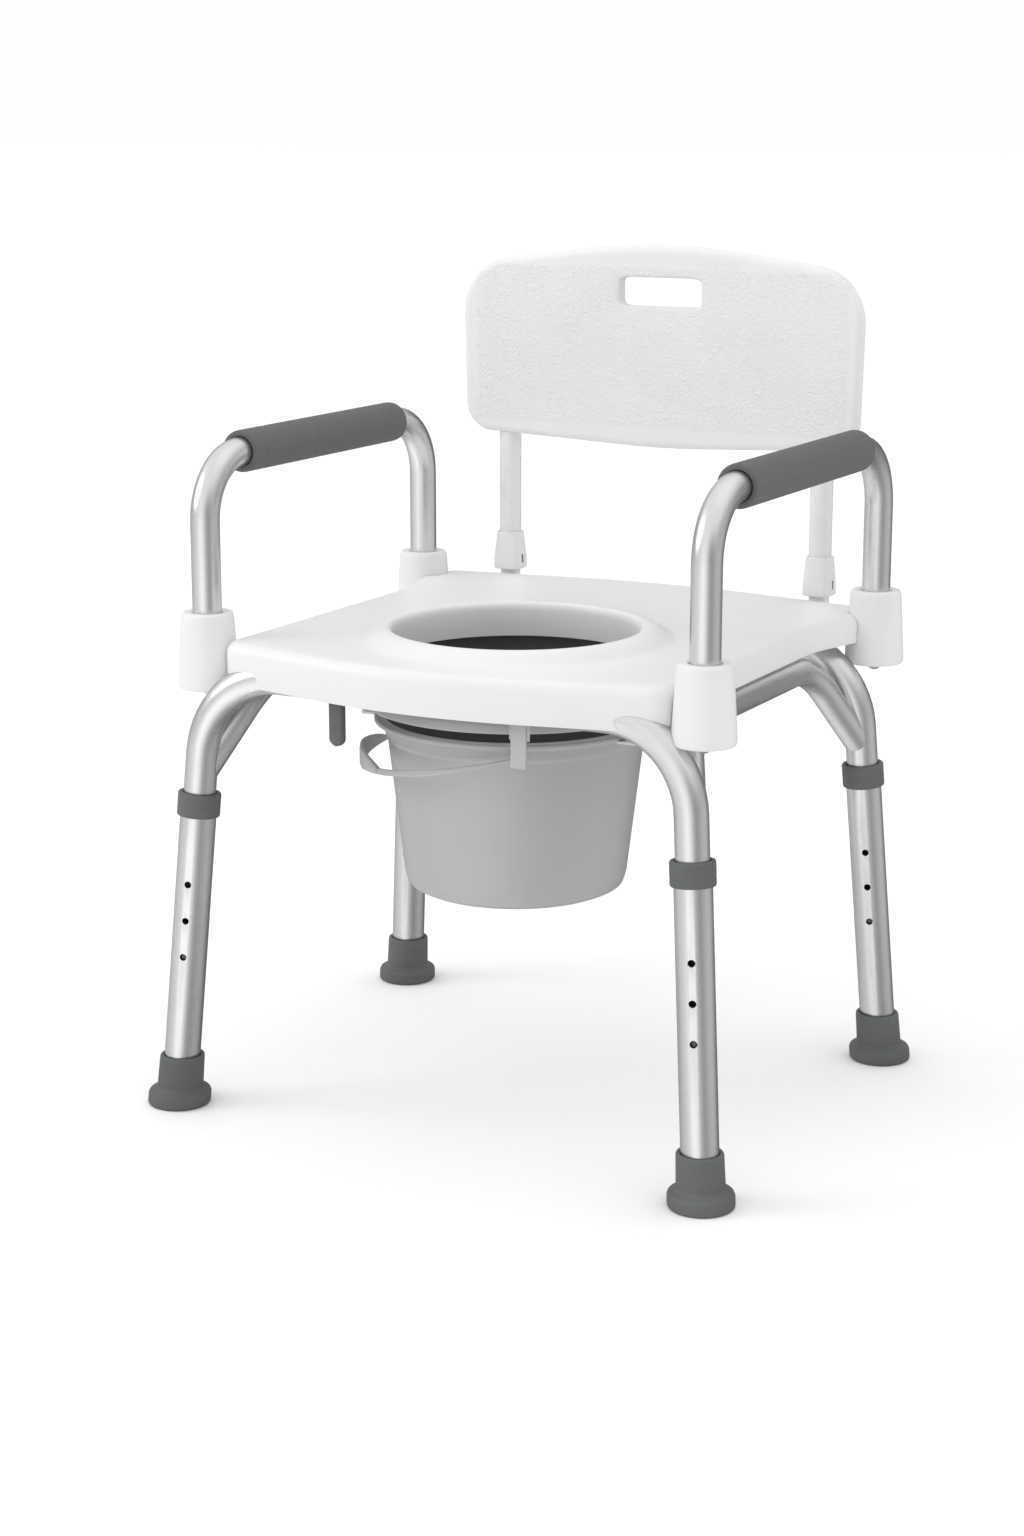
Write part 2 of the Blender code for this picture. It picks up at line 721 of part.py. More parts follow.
def build_hanger(side, sx):
    """A strap clipped over the front crossbar that hangs down in front of the pail's rim."""
    bar_y = -(FOOT_Y - SPLAY_Y * HOOP_HEIGHT)
    front = HANGER_Y - HANGER_THICKNESS / 2.0
    back = HANGER_Y + HANGER_THICKNESS / 2.0
    top = SEAT_UNDERSIDE - GAP
    under = HOOP_HEIGHT + FRAME_RADIUS + GAP
    profile = [
        (front, HANGER_LOW), (front, top), (bar_y + HANGER_HOOK, top), (bar_y + HANGER_HOOK, under),
        (back, under), (back, HANGER_LOW),
    ]
    outline = [(sx * HANGER_X - HANGER_WIDTH / 2.0, y, z) for y, z in profile]
    finish = "pail_plastic" if sx > 0 else "dark_plastic"
    add_object("pail_hanger_" + side, *prism(outline, (HANGER_WIDTH, 0, 0)), finish)


def build_pail_rail(side, sx):
    """An L-shaped rail under the seat that carries one side of the pail's rim."""
    outer = PAIL_RAIL_X + PAIL_RAIL_SHEET
    floor = PAIL_RAIL_FOOT
    top = SEAT_UNDERSIDE - GAP
    section = [
        (PAIL_RAIL_INNER, floor), (outer, floor), (outer, top), (PAIL_RAIL_X, top),
        (PAIL_RAIL_X, floor + PAIL_RAIL_SHEET), (PAIL_RAIL_INNER, floor + PAIL_RAIL_SHEET),
    ]
    outline = [(sx * x, PAIL_RAIL_FRONT, z) for x, z in section]
    body = prism(outline, (0, PAIL_RAIL_REAR - PAIL_RAIL_FRONT, 0))
    add_object("pail_rail_" + side, *body, "white_plastic")


# ---- pail and bail ------------------------------------------------------------------------
def build_pail():
    """The round pail with its flange and two ears for the bail."""
    foot = PAIL_BOTTOM
    profile = (
        (0.070, foot + 0.0040),
        (0.074, foot),
        (PAIL_BASE_RADIUS - 0.012, foot),
        (PAIL_BASE_RADIUS - 0.003, foot + 0.0045),
        (PAIL_BASE_RADIUS, foot + 0.0140),
        (PAIL_TOP_RADIUS, RIM_TOP - 0.0060),
        (PAIL_TOP_RADIUS + 0.0020, RIM_TOP - 0.0035),
        (RIM_RADIUS - 0.0015, RIM_TOP - 0.0048),
        (RIM_RADIUS, RIM_TOP - 0.0040),
        (RIM_RADIUS, RIM_TOP - 0.0012),
        (RIM_RADIUS - 0.0020, RIM_TOP),
        (PAIL_TOP_RADIUS - 0.0005, RIM_TOP),
        (PAIL_TOP_RADIUS - PAIL_WALL, RIM_TOP - 0.0035),
        (PAIL_BASE_RADIUS - PAIL_WALL, foot + 0.0150),
        (PAIL_BASE_RADIUS - 0.012, foot + 0.0055),
        (0.071, foot + 0.0065),
    )
    body = lathe(profile, (0, PAIL_Y, 0), (0, 0, 1), (1, 0, 0), ROUND_SIDES, closed=False)
    pail = add_object("pail", *body, "pail_plastic")
    axis = bail_axis()
    middle = Vector((0.0, PAIL_Y, BAIL_HEIGHT))
    for sign in (-1, 1):
        low = BAIL_HEIGHT - EAR_BELOW_AXIS
        ear = sided_block(middle, axis * sign, EAR_INNER, EAR_OUTER, EAR_HALF_WIDTH, low, EAR_TOP)
        combine(pail, add_cutter(f"ear_{sign}", ear), "UNION")
    for sign in (-1, 1):
        start = middle + axis * sign * (BAIL_PIN_INNER - 0.0008)
        hole = rod(start, middle + axis * sign * (EAR_OUTER + 0.005), BAIL_WIRE + GAP, (0, 0, 1), 10)
        cut(pail, add_cutter(f"ear_hole_{sign}", hole))


def sided_block(middle, outward, inner, outer, half_width, low, high):
    """A block that stands out along `outward` from a vertical axis."""
    sideways = Vector((0, 0, 1)).cross(outward)
    base = []
    corners = ((inner, -half_width), (outer, -half_width), (outer, half_width), (inner, half_width))
    for reach, offset in corners:
        spot = middle + outward * reach + sideways * offset
        base.append(Vector((spot.x, spot.y, low)))
    return loft([base, at_height(base, high)])


def bail_axis():
    """Unit vector along the bail's hinge line."""
    return Vector((math.sin(BAIL_AZIMUTH), -math.cos(BAIL_AZIMUTH), 0.0))


def bail_spot(turn, reach_extra=0.0):
    """A point of the bail's curve; the turn runs from one ear (0) to the other (pi)."""
    axis = bail_axis()
    aside = Vector((-math.cos(BAIL_AZIMUTH), -math.sin(BAIL_AZIMUTH), 0.0))
    hang = aside * math.cos(BAIL_DROOP) - Vector((0, 0, 1)) * math.sin(BAIL_DROOP)
    middle = Vector((0.0, PAIL_Y, BAIL_HEIGHT))
    across_part = axis * (BAIL_END + reach_extra) * math.cos(turn)
    return middle + across_part + hang * (BAIL_REACH + reach_extra) * math.sin(turn)


def build_bail():
    """The wire bail, hinged in the pail's ears, and its broad plastic hand grip."""
    axis = bail_axis()
    middle = Vector((0.0, PAIL_Y, BAIL_HEIGHT))
    arc = [bail_spot(math.pi * i / 16.0) for i in range(1, 16)]
    path = [middle + axis * BAIL_PIN_INNER, middle + axis * (BAIL_END - 0.0010)]
    path += arc
    path += [middle - axis * (BAIL_END - 0.0010), middle - axis * BAIL_PIN_INNER]
    add_object("bail", *sweep_tube(path, BAIL_WIRE, (0, 0, 1), 8), "pail_plastic", middle)

    loops = []
    for i in range(9):
        turn = math.pi * (BAIL_GRIP_START + BAIL_GRIP_SWEEP * i / 8.0)
        centre = bail_spot(turn)
        inner = bail_spot(turn, -BAIL_GRIP_HALF)
        outer = bail_spot(turn, BAIL_GRIP_HALF)
        ease = math.sin(math.pi * (0.10 + 0.80 * i / 8.0))
        rise = Vector((0, 0, BAIL_GRIP_END_RISE + BAIL_GRIP_RISE * ease))
        drop = Vector((0, 0, -BAIL_GRIP_DROP))
        narrow = [outer.lerp(centre, 0.5) + rise, inner.lerp(centre, 0.5) + rise]
        loops.append([inner + drop, outer + drop] + narrow)
    grip = add_object("bail_grip", *loft(loops), "pail_plastic", middle)
    core = [bail_spot(math.pi * i / 16.0) for i in range(4, 13)]
    cut(grip, add_cutter("bail_core", sweep_tube(core, BAIL_WIRE + GAP, (0, 0, 1), 8)))


# ---- backrest -----------------------------------------------------------------------------
def panel_point(x, z, depth):
    """A point of the curved panel; depth 0 is its front face."""
    return Vector((x, PANEL_FRONT_Y - PANEL_CURVE * (x / PANEL_HALF_WIDTH) ** 2 + depth, z))


def slot_loop(outline, grow):
    """The hand slot, with one point on the ray to each point of the panel's outline."""
    loop = []
    for point in outline:
        turn = math.atan2(point.y - SLOT_HEIGHT, point.x)
        half_x = SLOT_HALF_X + grow
        half_z = SLOT_HALF_Z + grow
        reach = (abs(math.cos(turn) / half_x) ** 8 + abs(math.sin(turn) / half_z) ** 8) ** -0.125
        loop.append(Vector((reach * math.cos(turn), SLOT_HEIGHT + reach * math.sin(turn), 0.0)))
    return loop


def build_panel():
    """The moulded back panel with its hand slot, hollowed behind for the two posts."""
    outline = half_outline(PANEL_CORNERS, 4)
    slot = slot_loop(outline, 0.0)
    slot_edge = slot_loop(outline, 0.0030)
    border = inset(outline, 0.0070)

    def between(share):
        return [a.lerp(b, share) for a, b in zip(slot_edge, border)]

    steps = (
        (slot, PANEL_THICKNESS * 0.75),
        (slot, PANEL_THICKNESS * 0.25),
        (slot_edge, 0.0005),
        (between(0.35), 0.0),
        (between(0.70), 0.0),
        (border, 0.0005),
        (inset(outline, 0.0018), 0.0030),
        (outline, PANEL_THICKNESS * 0.5),
        (inset(outline, 0.0018), PANEL_THICKNESS - 0.0030),
        (border, PANEL_THICKNESS - 0.0005),
        (between(0.70), PANEL_THICKNESS),
        (between(0.35), PANEL_THICKNESS),
        (slot_edge, PANEL_THICKNESS - 0.0005),
    )
    loops = [[panel_point(p.x, p.y, depth) for p in loop] for loop, depth in steps]
    panel = add_object("back_panel", *loft(loops, closed=True), "white_plastic")
    for sx in (-1, 1):
        low = (sx * POST_X, POST_Y, CHANNEL_BOTTOM)
        high = (sx * POST_X, POST_Y, POST_TOP + 0.0010)
        channel = rod(low, high, POST_RADIUS + CHANNEL_CLEARANCE, (1, 0, 0))
        cut(panel, add_cutter(f"post_channel_{sx}", channel))


def rounded_square(x, y, z, half, power=5.0, sides=16):
    """A horizontal loop between a circle and a square."""
    loop = []
    for i in range(sides):
        turn = 2.0 * math.pi * (i + 0.5) / sides
        reach = half * (abs(math.cos(turn)) ** power + abs(math.sin(turn)) ** power) ** (-1.0 / power)
        loop.append(Vector((x + reach * math.cos(turn), y + reach * math.sin(turn), z)))
    return loop


def stub_path(x, top):
    """Back from the rear crossbar and up to a height."""
    points = [
        Vector((x, leg_point(1, 1, HOOP_HEIGHT).y, HOOP_HEIGHT)),
        Vector((x, POST_Y, HOOP_HEIGHT)),
        Vector((x, POST_Y, top)),
    ]
    return rounded_path(points, (STUB_BEND,), 4)


def build_back_post(side, sx, crossbar):
    """Frame stub, post, cuff and latch of one side of the backrest."""
    x = sx * POST_X
    stub = add_object("back_stub_" + side, *stepped_stub(x), "white_enamel")
    cut(stub, crossbar)

    post_profile = (
        (POST_RADIUS, POST_BOTTOM),
        (POST_RADIUS, POST_TOP),
        (POST_BORE, POST_TOP),
        (POST_BORE, POST_BOTTOM),
    )
    tube = lathe(post_profile, (x, POST_Y, 0), (0, 0, 1), (1, 0, 0))
    add_object("back_post_" + side, *tube, "white_enamel")

    bore = POST_RADIUS + GAP
    hole = [rounded_square(x, POST_Y, z, bore, 2.0) for z in (CUFF_TOP - 0.003, CUFF_BOTTOM)]
    loops = [
        hole[1],
        rounded_square(x, POST_Y, CUFF_BOTTOM, CUFF_HALF - 0.0008),
        rounded_square(x, POST_Y, CUFF_BOTTOM + 0.0015, CUFF_HALF),
        rounded_square(x, POST_Y, CUFF_BOTTOM + 0.0090, CUFF_HALF),
        rounded_square(x, POST_Y, CUFF_TOP - 0.0020, CUFF_HALF - 0.0016, 4.0),
        rounded_square(x, POST_Y, CUFF_TOP, CUFF_HALF - 0.0020, 3.0),
        hole[0],
    ]
    cuff = add_object("back_cuff_" + side, *loft(loops, closed=True), "white_plastic")
    middle = Vector((x + LATCH_REACH, POST_Y, LATCH_HEIGHT))
    window_half = LATCH_HALF_SIZE + LATCH_SLACK
    window = box(middle - window_half, middle + window_half)
    cut(cuff, add_cutter("latch_window_" + side, window))
    latch = box(middle - LATCH_HALF_SIZE, middle + LATCH_HALF_SIZE)
    add_object("back_latch_" + side, *latch, "dark_plastic", middle)


def stepped_stub(x):
    """A bent stub whose upper end is necked down to enter the post."""
    path = stub_path(x, POST_BOTTOM - 0.001)
    loops = []
    side = Vector((1, 0, 0))
    for i, point in enumerate(path):
        before = path[max(i - 1, 0)]
        after = path[min(i + 1, len(path) - 1)]
        direction = (after - point).normalized() + (point - before).normalized()
        loops.append(circle(point, direction, side, STUB_RADIUS, 12))
    spigot = (
        (SPIGOT_RADIUS, POST_BOTTOM - 0.001),
        (SPIGOT_RADIUS, SPIGOT_TOP - 0.001),
        (SPIGOT_RADIUS - 0.001, SPIGOT_TOP),
    )
    for radius, height in spigot:
        loops.append(circle((x, POST_Y, height), (0, 0, 1), side, radius, 12))
    return loft(loops)


# ---- assembly -----------------------------------------------------------------------------
hoop_clearance = {}
for name, sy in (("front_hoop", -1), ("rear_hoop", 1)):
    build_hoop(name, sy)
    path = hoop_path(sy, HOOP_CLEARANCE_END)
    room = sweep_tube(path, FRAME_RADIUS + GAP, hole_direction(-1, sy))
    hoop_clearance[sy] = add_cutter("clearance_" + name, room)

rail_clearance = {}
for side, sx in (("left", -1), ("right", 1)):
    bar = sweep_tube(rail_path(sx), RAIL_RADIUS, (1, 0, 0))
    rail = add_object("side_rail_" + side, *bar, "satin_aluminium")
    for sy in (-1, 1):
        cut(rail, hoop_clearance[sy])
    room = sweep_tube(rail_path(sx), RAIL_RADIUS + GAP, (1, 0, 0))
    rail_clearance[sx] = add_cutter("rail_clearance_" + side, room)

for tag, (sx, sy) in LEGS.items():
    build_leg(tag, sx, sy)

socket_places = [(tag, sx, SOCKET_FRONT_Y if sy < 0 else SOCKET_REAR_Y) for tag, (sx, sy) in LEGS.items()]
for tag, sx, y in socket_places:
    socket = build_socket(tag, sx, y)
    cut(socket, hoop_clearance[-1 if y < 0 else 1])
    if y < 0:
        cut(socket, rail_clearance[sx])

build_seat(socket_places, hoop_clearance)
build_splash_guard()
build_pail()
build_bail()
for side, sx in (("left", -1), ("right", 1)):
    build_arm(side, sx)
    build_hanger(side, sx)
    build_pail_rail(side, sx)
    build_back_post(side, sx, hoop_clearance[1])
build_panel()
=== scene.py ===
import math

import bpy
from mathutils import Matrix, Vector


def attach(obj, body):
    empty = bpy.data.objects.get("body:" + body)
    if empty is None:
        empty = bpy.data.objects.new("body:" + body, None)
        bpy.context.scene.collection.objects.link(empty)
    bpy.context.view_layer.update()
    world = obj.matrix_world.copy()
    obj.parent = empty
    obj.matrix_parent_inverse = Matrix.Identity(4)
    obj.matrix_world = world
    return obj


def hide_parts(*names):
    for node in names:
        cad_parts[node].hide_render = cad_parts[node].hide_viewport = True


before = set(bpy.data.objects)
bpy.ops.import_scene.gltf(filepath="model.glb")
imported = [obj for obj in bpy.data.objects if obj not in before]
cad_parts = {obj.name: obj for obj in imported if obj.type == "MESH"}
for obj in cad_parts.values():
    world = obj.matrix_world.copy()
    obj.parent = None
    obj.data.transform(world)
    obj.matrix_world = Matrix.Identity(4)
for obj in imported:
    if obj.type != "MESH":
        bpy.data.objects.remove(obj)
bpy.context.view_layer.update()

# Positions below are measured from the middle of the four feet, as in the part's own source.
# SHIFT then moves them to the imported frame. Every size is in metres.
SHIFT = Vector((0.0, -0.01777, 0.0))
UP = Vector((0.0, 0.0, 1.0))
RIGHT = Vector((1.0, 0.0, 0.0))
REARWARD = Vector((0.0, 1.0, 0.0))
LEGS = {"fl": (-1, -1), "fr": (1, -1), "rl": (-1, 1), "rr": (1, 1)}
SIDES = (("left", -1), ("right", 1))
CUT_GAP = 0.0002  # kept between a piece and the bar or tube that it is cut round

# Legs, hoops and side rails.
FOOT_X = 0.256
FOOT_Y = 0.203
SPLAY_X = 0.070
SPLAY_Y = 0.0577
HOLE_AZIMUTH = math.radians(14.0)
HOLE_HEIGHTS = (0.138, 0.171, 0.204)
HOLE_RADIUS = 0.0031
HOLE_CUT_START = 0.008
HOLE_CUT_END = 0.024
FRAME_RADIUS = 0.0142
FRAME_BORE = 0.0130
INNER_LEG_END = 0.120
LEG_RADIUS = 0.0159
LEG_BORE = 0.01475
LEG_TUBE_BOTTOM = 0.0141
LEG_TUBE_TOP = 0.2781
HOOP_HEIGHT = 0.3925
HOOP_BEND = 0.078
HOOP_ROOM_END = 0.25
RAIL_HEIGHT = 0.3815
RAIL_X = 0.203
RAIL_CORNER_Y = 0.128
RAIL_WELD = 0.300
RAIL_BEND = 0.060

# Sockets, bolts, arms and grips.
SOCKET_X = 0.236
SOCKET_FRONT_Y = -0.168
SOCKET_REAR_Y = 0.208
SOCKET_TOP = 0.4416
SOCKET_BOTTOM = 0.375
SOCKET_WIDE_RADIUS = 0.0267
SOCKET_NARROW_RADIUS = 0.0230
SOCKET_BORE = 0.01305
SOCKET_BORE_BOTTOM = 0.389
BOLT_HOLE_RADIUS = 0.0034
BOLT_RADIUS = 0.0030
BOLT_HEAD_RADIUS = 0.0057
BOLT_TOP = 0.401
ARM_RADIUS = 0.0127
ARM_BORE = 0.0114
ARM_HEIGHT = 0.574
ARM_END = 0.3915
ARM_BEND = 0.055
GRIP_RADIUS = 0.0185
GRIP_FRONT_Y = -0.112
GRIP_REAR_Y = 0.148

# Seat. Each corner of an outline is two coordinates and the radius that rounds it.
SEAT_TOP = 0.420
SEAT_UNDERSIDE = 0.4095
SEAT_EDGE_RADIUS = 0.0095
SEAT_EDGE_START = 0.0100
SKIRT_BOTTOM = 0.3840
SKIRT_SIDE_RISE = 0.0115
SKIRT_REAR_RISE = 0.0080
SKIRT_THICKNESS = 0.0040
OPENING_HALF_X = 0.1075
OPENING_HALF_Y = 0.108
WALL_BOTTOM = 0.3990
WALL_TOP = 0.4100
SEAT_CORNERS = (
    (0.000, -0.2330, 0.450),
    (0.2125, -0.1850, 0.022),
    (0.2110, 0.1250, 0.120),
    (0.2300, 0.1900, 0.030),
    (0.2220, 0.2380, 0.016),
    (0.000, 0.2720, 0.600),
)

# Pail, bail and hangers.
PAIL_Y = -0.042
RIM_RADIUS = 0.124
RIM_TOP = 0.3515
PAIL_BOTTOM = 0.198
PAIL_TOP_RADIUS = 0.114
PAIL_BASE_RADIUS = 0.098
EAR_START = 0.1128
EAR_END = 0.1262
EAR_RADIUS = 0.0050
BAIL_AZIMUTH = math.radians(28.0)
BAIL_HEIGHT = 0.3405
BAIL_END = 0.130
BAIL_REACH = 0.138
BAIL_DROOP = math.radians(12.0)
BAND_HALF_HEIGHT = 0.0017
PIN_START = 0.1175
PIN_RADIUS = 0.0018
HANGER_X = 0.086
HANGER_Y = -0.1995
HANGER_HALF_WIDTH = 0.0072
HANGER_BOTTOM = 0.3450
HANGER_TOP = 0.4090

# Backrest, its stubs and its cuffs.
POST_X = 0.163
POST_Y = 0.253
POST_RADIUS = 0.0105
POST_BORE = 0.0091
POST_BOTTOM = 0.4405
POST_TOP = 0.690
STUB_RADIUS = 0.0095
STUB_ROOM_RADIUS = 0.0101
STUB_BEND = 0.020
STUB_TOP = POST_BOTTOM - 0.001
PEG_RADIUS = 0.0085
PEG_TIP_RADIUS = 0.0075
PEG_TOP = 0.478
CUFF_BOTTOM = 0.4235
CUFF_TOP = 0.4600
CUFF_BORE = 0.0108
LATCH_HEIGHT = 0.4335
LATCH_HALF_HEIGHT = 0.0042
PANEL_FRONT_Y = 0.243
PANEL_THICKNESS = 0.016
PANEL_CURVE = 0.010
PANEL_HALF_WIDTH = 0.2065
PANEL_EDGE_RADIUS = 0.0075
CHANNEL_BOTTOM = 0.50
SLOT_HEIGHT = 0.697
SLOT_HALF_WIDTH = 0.042
SLOT_HALF_HEIGHT = 0.0135
SLOT_EDGE_RADIUS = 0.0030
PANEL_CORNERS = (
    (0.000, 0.5500, 0.900),
    (0.2030, 0.5600, 0.028),
    (0.2065, 0.7200, 0.052),
    (0.000, 0.7460, 0.700),
)
GRAIN_BOTTOM = 0.5600
GRAIN_TOP = 0.7330
GRAIN_HALF_WIDTH = 0.1935
GRAIN_HALF_HEIGHT = 0.0760
GRAIN_FADE = 0.004


# ---- materials ----------------------------------------------------------------------------
# Each pair is the darker and the lighter shade of one mottling. For the two pail colours only
# the darker shade is given, and glossy_plastic works out the lighter one.
SATIN = ((0.690, 0.694, 0.702), (0.715, 0.718, 0.724))
WHITE = ((0.775, 0.776, 0.780), (0.800, 0.801, 0.805))
ENAMEL = ((0.77, 0.77, 0.775), (0.795, 0.795, 0.80))
RUBBER = ((0.098, 0.103, 0.107), (0.125, 0.131, 0.135))
FOAM = ((0.128, 0.128, 0.130), (0.146, 0.146, 0.148))
DARK = ((0.085, 0.085, 0.09), (0.115, 0.115, 0.12))
PAIL_GREY = (0.435, 0.438, 0.444)
# Painted shade: this dark grey on the inside of the pail and the splash guard stands for the shadow within
# them.
PAIL_PAINTED_SHADE = (0.085, 0.086, 0.088)
MOTTLING_SCALE = 14.0


class Shader:
    """A Principled material and short calls for the nodes that feed it."""

    def __init__(self, name, roughness, metallic=0.0, coat=0.0, specular=0.5):
        self.material = bpy.data.materials.new(name)
        self.material.use_nodes = True
        self.tree = self.material.node_tree
        self.principled = self.tree.nodes["Principled BSDF"]
        self.principled.inputs["Roughness"].default_value = roughness
        self.principled.inputs["Metallic"].default_value = metallic
        self.principled.inputs["Coat Weight"].default_value = coat
        self.principled.inputs["Specular IOR Level"].default_value = specular
        self.position = self.tree.nodes.new("ShaderNodeTexCoord").outputs["Object"]

    def link(self, output, target):
        self.tree.links.new(output, target)

    def stretched(self, scale):
        """Object coordinates scaled along each axis."""
        mapping = self.tree.nodes.new("ShaderNodeMapping")
        mapping.inputs["Scale"].default_value = scale
        self.link(self.position, mapping.inputs["Vector"])
        return mapping.outputs["Vector"]

    def noise(self, scale, detail=3.0, stretch=(1.0, 1.0, 1.0)):
        node = self.tree.nodes.new("ShaderNodeTexNoise")
        node.inputs["Scale"].default_value = scale
        node.inputs["Detail"].default_value = detail
        self.link(self.stretched(stretch), node.inputs["Vector"])
        return node.outputs["Fac"]

    def cells(self, scale):
        node = self.tree.nodes.new("ShaderNodeTexVoronoi")
        node.feature = "SMOOTH_F1"
        node.inputs["Scale"].default_value = scale
        self.link(self.position, node.inputs["Vector"])
        return node.outputs["Distance"]

    def math(self, operation, first, second):
        node = self.tree.nodes.new("ShaderNodeMath")
        node.operation = operation
        for socket, value in zip(node.inputs, (first, second)):
            if isinstance(value, (int, float)):
                socket.default_value = value
            else:
                self.link(value, socket)
        return node.outputs["Value"]

    def spread(self, value, low, high, start=0.3, end=0.7):
        """The value remapped from start..end to low..high."""
        node = self.tree.nodes.new("ShaderNodeMapRange")
        for name, number in (("From Min", start), ("From Max", end), ("To Min", low), ("To Max", high)):
            node.inputs[name].default_value = number
        self.link(value, node.inputs["Value"])
        return node.outputs["Result"]

    def colour(self, value, dark, light):
        ramp = self.tree.nodes.new("ShaderNodeValToRGB")
        ramp.color_ramp.elements[0].position = 0.3
        ramp.color_ramp.elements[1].position = 0.7
        ramp.color_ramp.elements[0].color = (*dark, 1.0)
        ramp.color_ramp.elements[1].color = (*light, 1.0)
        self.link(value, ramp.inputs["Fac"])
        self.link(ramp.outputs["Color"], self.principled.inputs["Base Color"])

    def bump(self, value, distance):
        node = self.tree.nodes.new("ShaderNodeBump")
        node.inputs["Distance"].default_value = distance
        node.inputs["Strength"].default_value = 1.0
        self.link(value, node.inputs["Height"])
        self.link(node.outputs["Normal"], self.principled.inputs["Normal"])


def aluminium(name, stretch):
    """Satin tube metal, with fine drawn lines along the axis that has the smallest scale."""
    shader = Shader(name, 0.30, metallic=1.0)
    lines = shader.noise(1500.0, 2.0, stretch)
    clouds = shader.noise(9.0)
    shader.colour(clouds, *SATIN)
    shader.link(shader.spread(lines, 0.27, 0.34), shader.principled.inputs["Roughness"])
    shader.bump(lines, 0.000004)
    return shader.material


def moulded(name, dark, light, roughness, grain, depth, coat=0.0):
    """Moulded plastic or rubber: faint mottling and a fine surface texture."""
    shader = Shader(name, roughness, coat=coat)
    texture = shader.noise(grain, 4.0)
    shader.colour(shader.noise(MOTTLING_SCALE), dark, light)
    varied = shader.spread(texture, roughness - 0.05, roughness + 0.06)
    shader.link(varied, shader.principled.inputs["Roughness"])
    shader.bump(texture, depth)
    return shader.material


def pebbled(name):
    """White plastic whose grain fades out towards the back panel's smooth border."""
    shader = Shader(name, 0.46)
    shader.colour(shader.noise(MOTTLING_SCALE), *WHITE)
    split = shader.tree.nodes.new("ShaderNodeSeparateXYZ")
    shader.link(shader.position, split.inputs["Vector"])
    middle = (GRAIN_BOTTOM + GRAIN_TOP) / 2.0
    aside = shader.math("ABSOLUTE", split.outputs["X"], 0.0)
    height = shader.math("ABSOLUTE", shader.math("SUBTRACT", split.outputs["Z"], middle), 0.0)
    from_side = shader.math("SUBTRACT", GRAIN_HALF_WIDTH, aside)
    from_end = shader.math("SUBTRACT", GRAIN_HALF_HEIGHT, height)
    mask = shader.spread(shader.math("MINIMUM", from_side, from_end), 0.0, 1.0, 0.0, GRAIN_FADE)
    pebbles = shader.math("MULTIPLY", shader.cells(520.0), mask)
    shader.link(shader.spread(pebbles, 0.40, 0.55, 0.0, 0.6), shader.principled.inputs["Roughness"])
    shader.bump(pebbles, 0.00110)
    return shader.material


def glossy_plastic(name, colour, roughness):
    """Smooth moulded plastic with faint mottling and no grain."""
    shader = Shader(name, roughness, coat=0.15)
    shader.colour(shader.noise(MOTTLING_SCALE), colour, tuple(value * 1.02 for value in colour))
    return shader.material


def foam(name):
    """Closed-cell foam: pores over a soft skin."""
    shader = Shader(name, 0.88, specular=0.25)
    pores = shader.cells(900.0)
    shader.colour(shader.noise(420.0), *FOAM)
    shader.bump(pores, 0.00022)
    return shader.material


LOOKS = {
    "satin_aluminium": aluminium("satin_aluminium_up", (1.0, 1.0, 0.04)),
    "aluminium_along": aluminium("satin_aluminium_along", (1.0, 0.04, 1.0)),
    "white_plastic": moulded("white_plastic", *WHITE, roughness=0.42, grain=700.0, depth=0.00004),
    "back_plastic": pebbled("back_panel_plastic"),
    "white_enamel": moulded("white_enamel", *ENAMEL, roughness=0.30, grain=160.0, depth=0.000006, coat=0.3),
    "grey_rubber": moulded("grey_rubber", *RUBBER, roughness=0.68, grain=900.0, depth=0.00012),
    "grey_foam": foam("grey_foam"),
    "pail_plastic": glossy_plastic("pail_plastic", PAIL_GREY, roughness=0.28),
    # Painted shade for the pail's inside, darker than the pail's own grey.
    "pail_painted_shade": glossy_plastic("pail_painted_shade", PAIL_PAINTED_SHADE, roughness=0.45),
    # Dark plastic for the buttons and latches; on the left hanger peg the same dark is painted shade.
    "dark_plastic": moulded("dark_plastic", *DARK, roughness=0.48, grain=600.0, depth=0.00006),
    "zinc_steel": aluminium("zinc_steel", (0.5, 1.0, 1.0)),
}


# ---- geometry helpers ---------------------------------------------------------------------
def loft(loops, closed=True):
    """Join loops of equal length. A closed loft returns to its first loop, an open one is capped."""
    count = len(loops[0])
    verts = [point for loop in loops for point in loop]
    faces = []
    for row in range(len(loops) if closed else len(loops) - 1):
        here = row * count
        there = ((row + 1) % len(loops)) * count
        for i in range(count):
            j = (i + 1) % count
            faces.append((here + i, here + j, there + j, there + i))
    if not closed:
        faces.append(tuple(reversed(range(count))))
        faces.append(tuple(range(len(verts) - count, len(verts))))
    return verts, faces


def make(name, shape, look=None):
    """A mesh object whose faces point outwards."""
    verts, faces = shape
    mesh = bpy.data.meshes.new(name)
    mesh.from_pydata([v + SHIFT for v in verts], [], faces)
    volume = 0.0
    for face in mesh.polygons:
        corners = [mesh.vertices[i].co for i in face.vertices]
        for first, second in zip(corners[1:], corners[2:]):
            volume += corners[0].dot(first.cross(second))
    if volume < 0.0:
        mesh.flip_normals()
    piece = bpy.data.objects.new(name, mesh)
    bpy.context.scene.collection.objects.link(piece)
    if look:
        mesh.materials.append(LOOKS[look])
    return piece


def carve(piece, cutters, operation="DIFFERENCE"):
    """Apply solid cuts, or joins, to a piece and drop the solids used."""
    for cutter in cutters:
        step = piece.modifiers.new("carve", "BOOLEAN")
        step.operation = operation
        step.solver = "EXACT"
        step.object = cutter
    bake(piece)
    for cutter in cutters:
        bpy.data.objects.remove(cutter, do_unlink=True)


def bake(piece):
    """Turn a piece's modifiers into plain mesh."""
    graph = bpy.context.evaluated_depsgraph_get()
    piece.data = bpy.data.meshes.new_from_object(piece.evaluated_get(graph))
    piece.modifiers.clear()


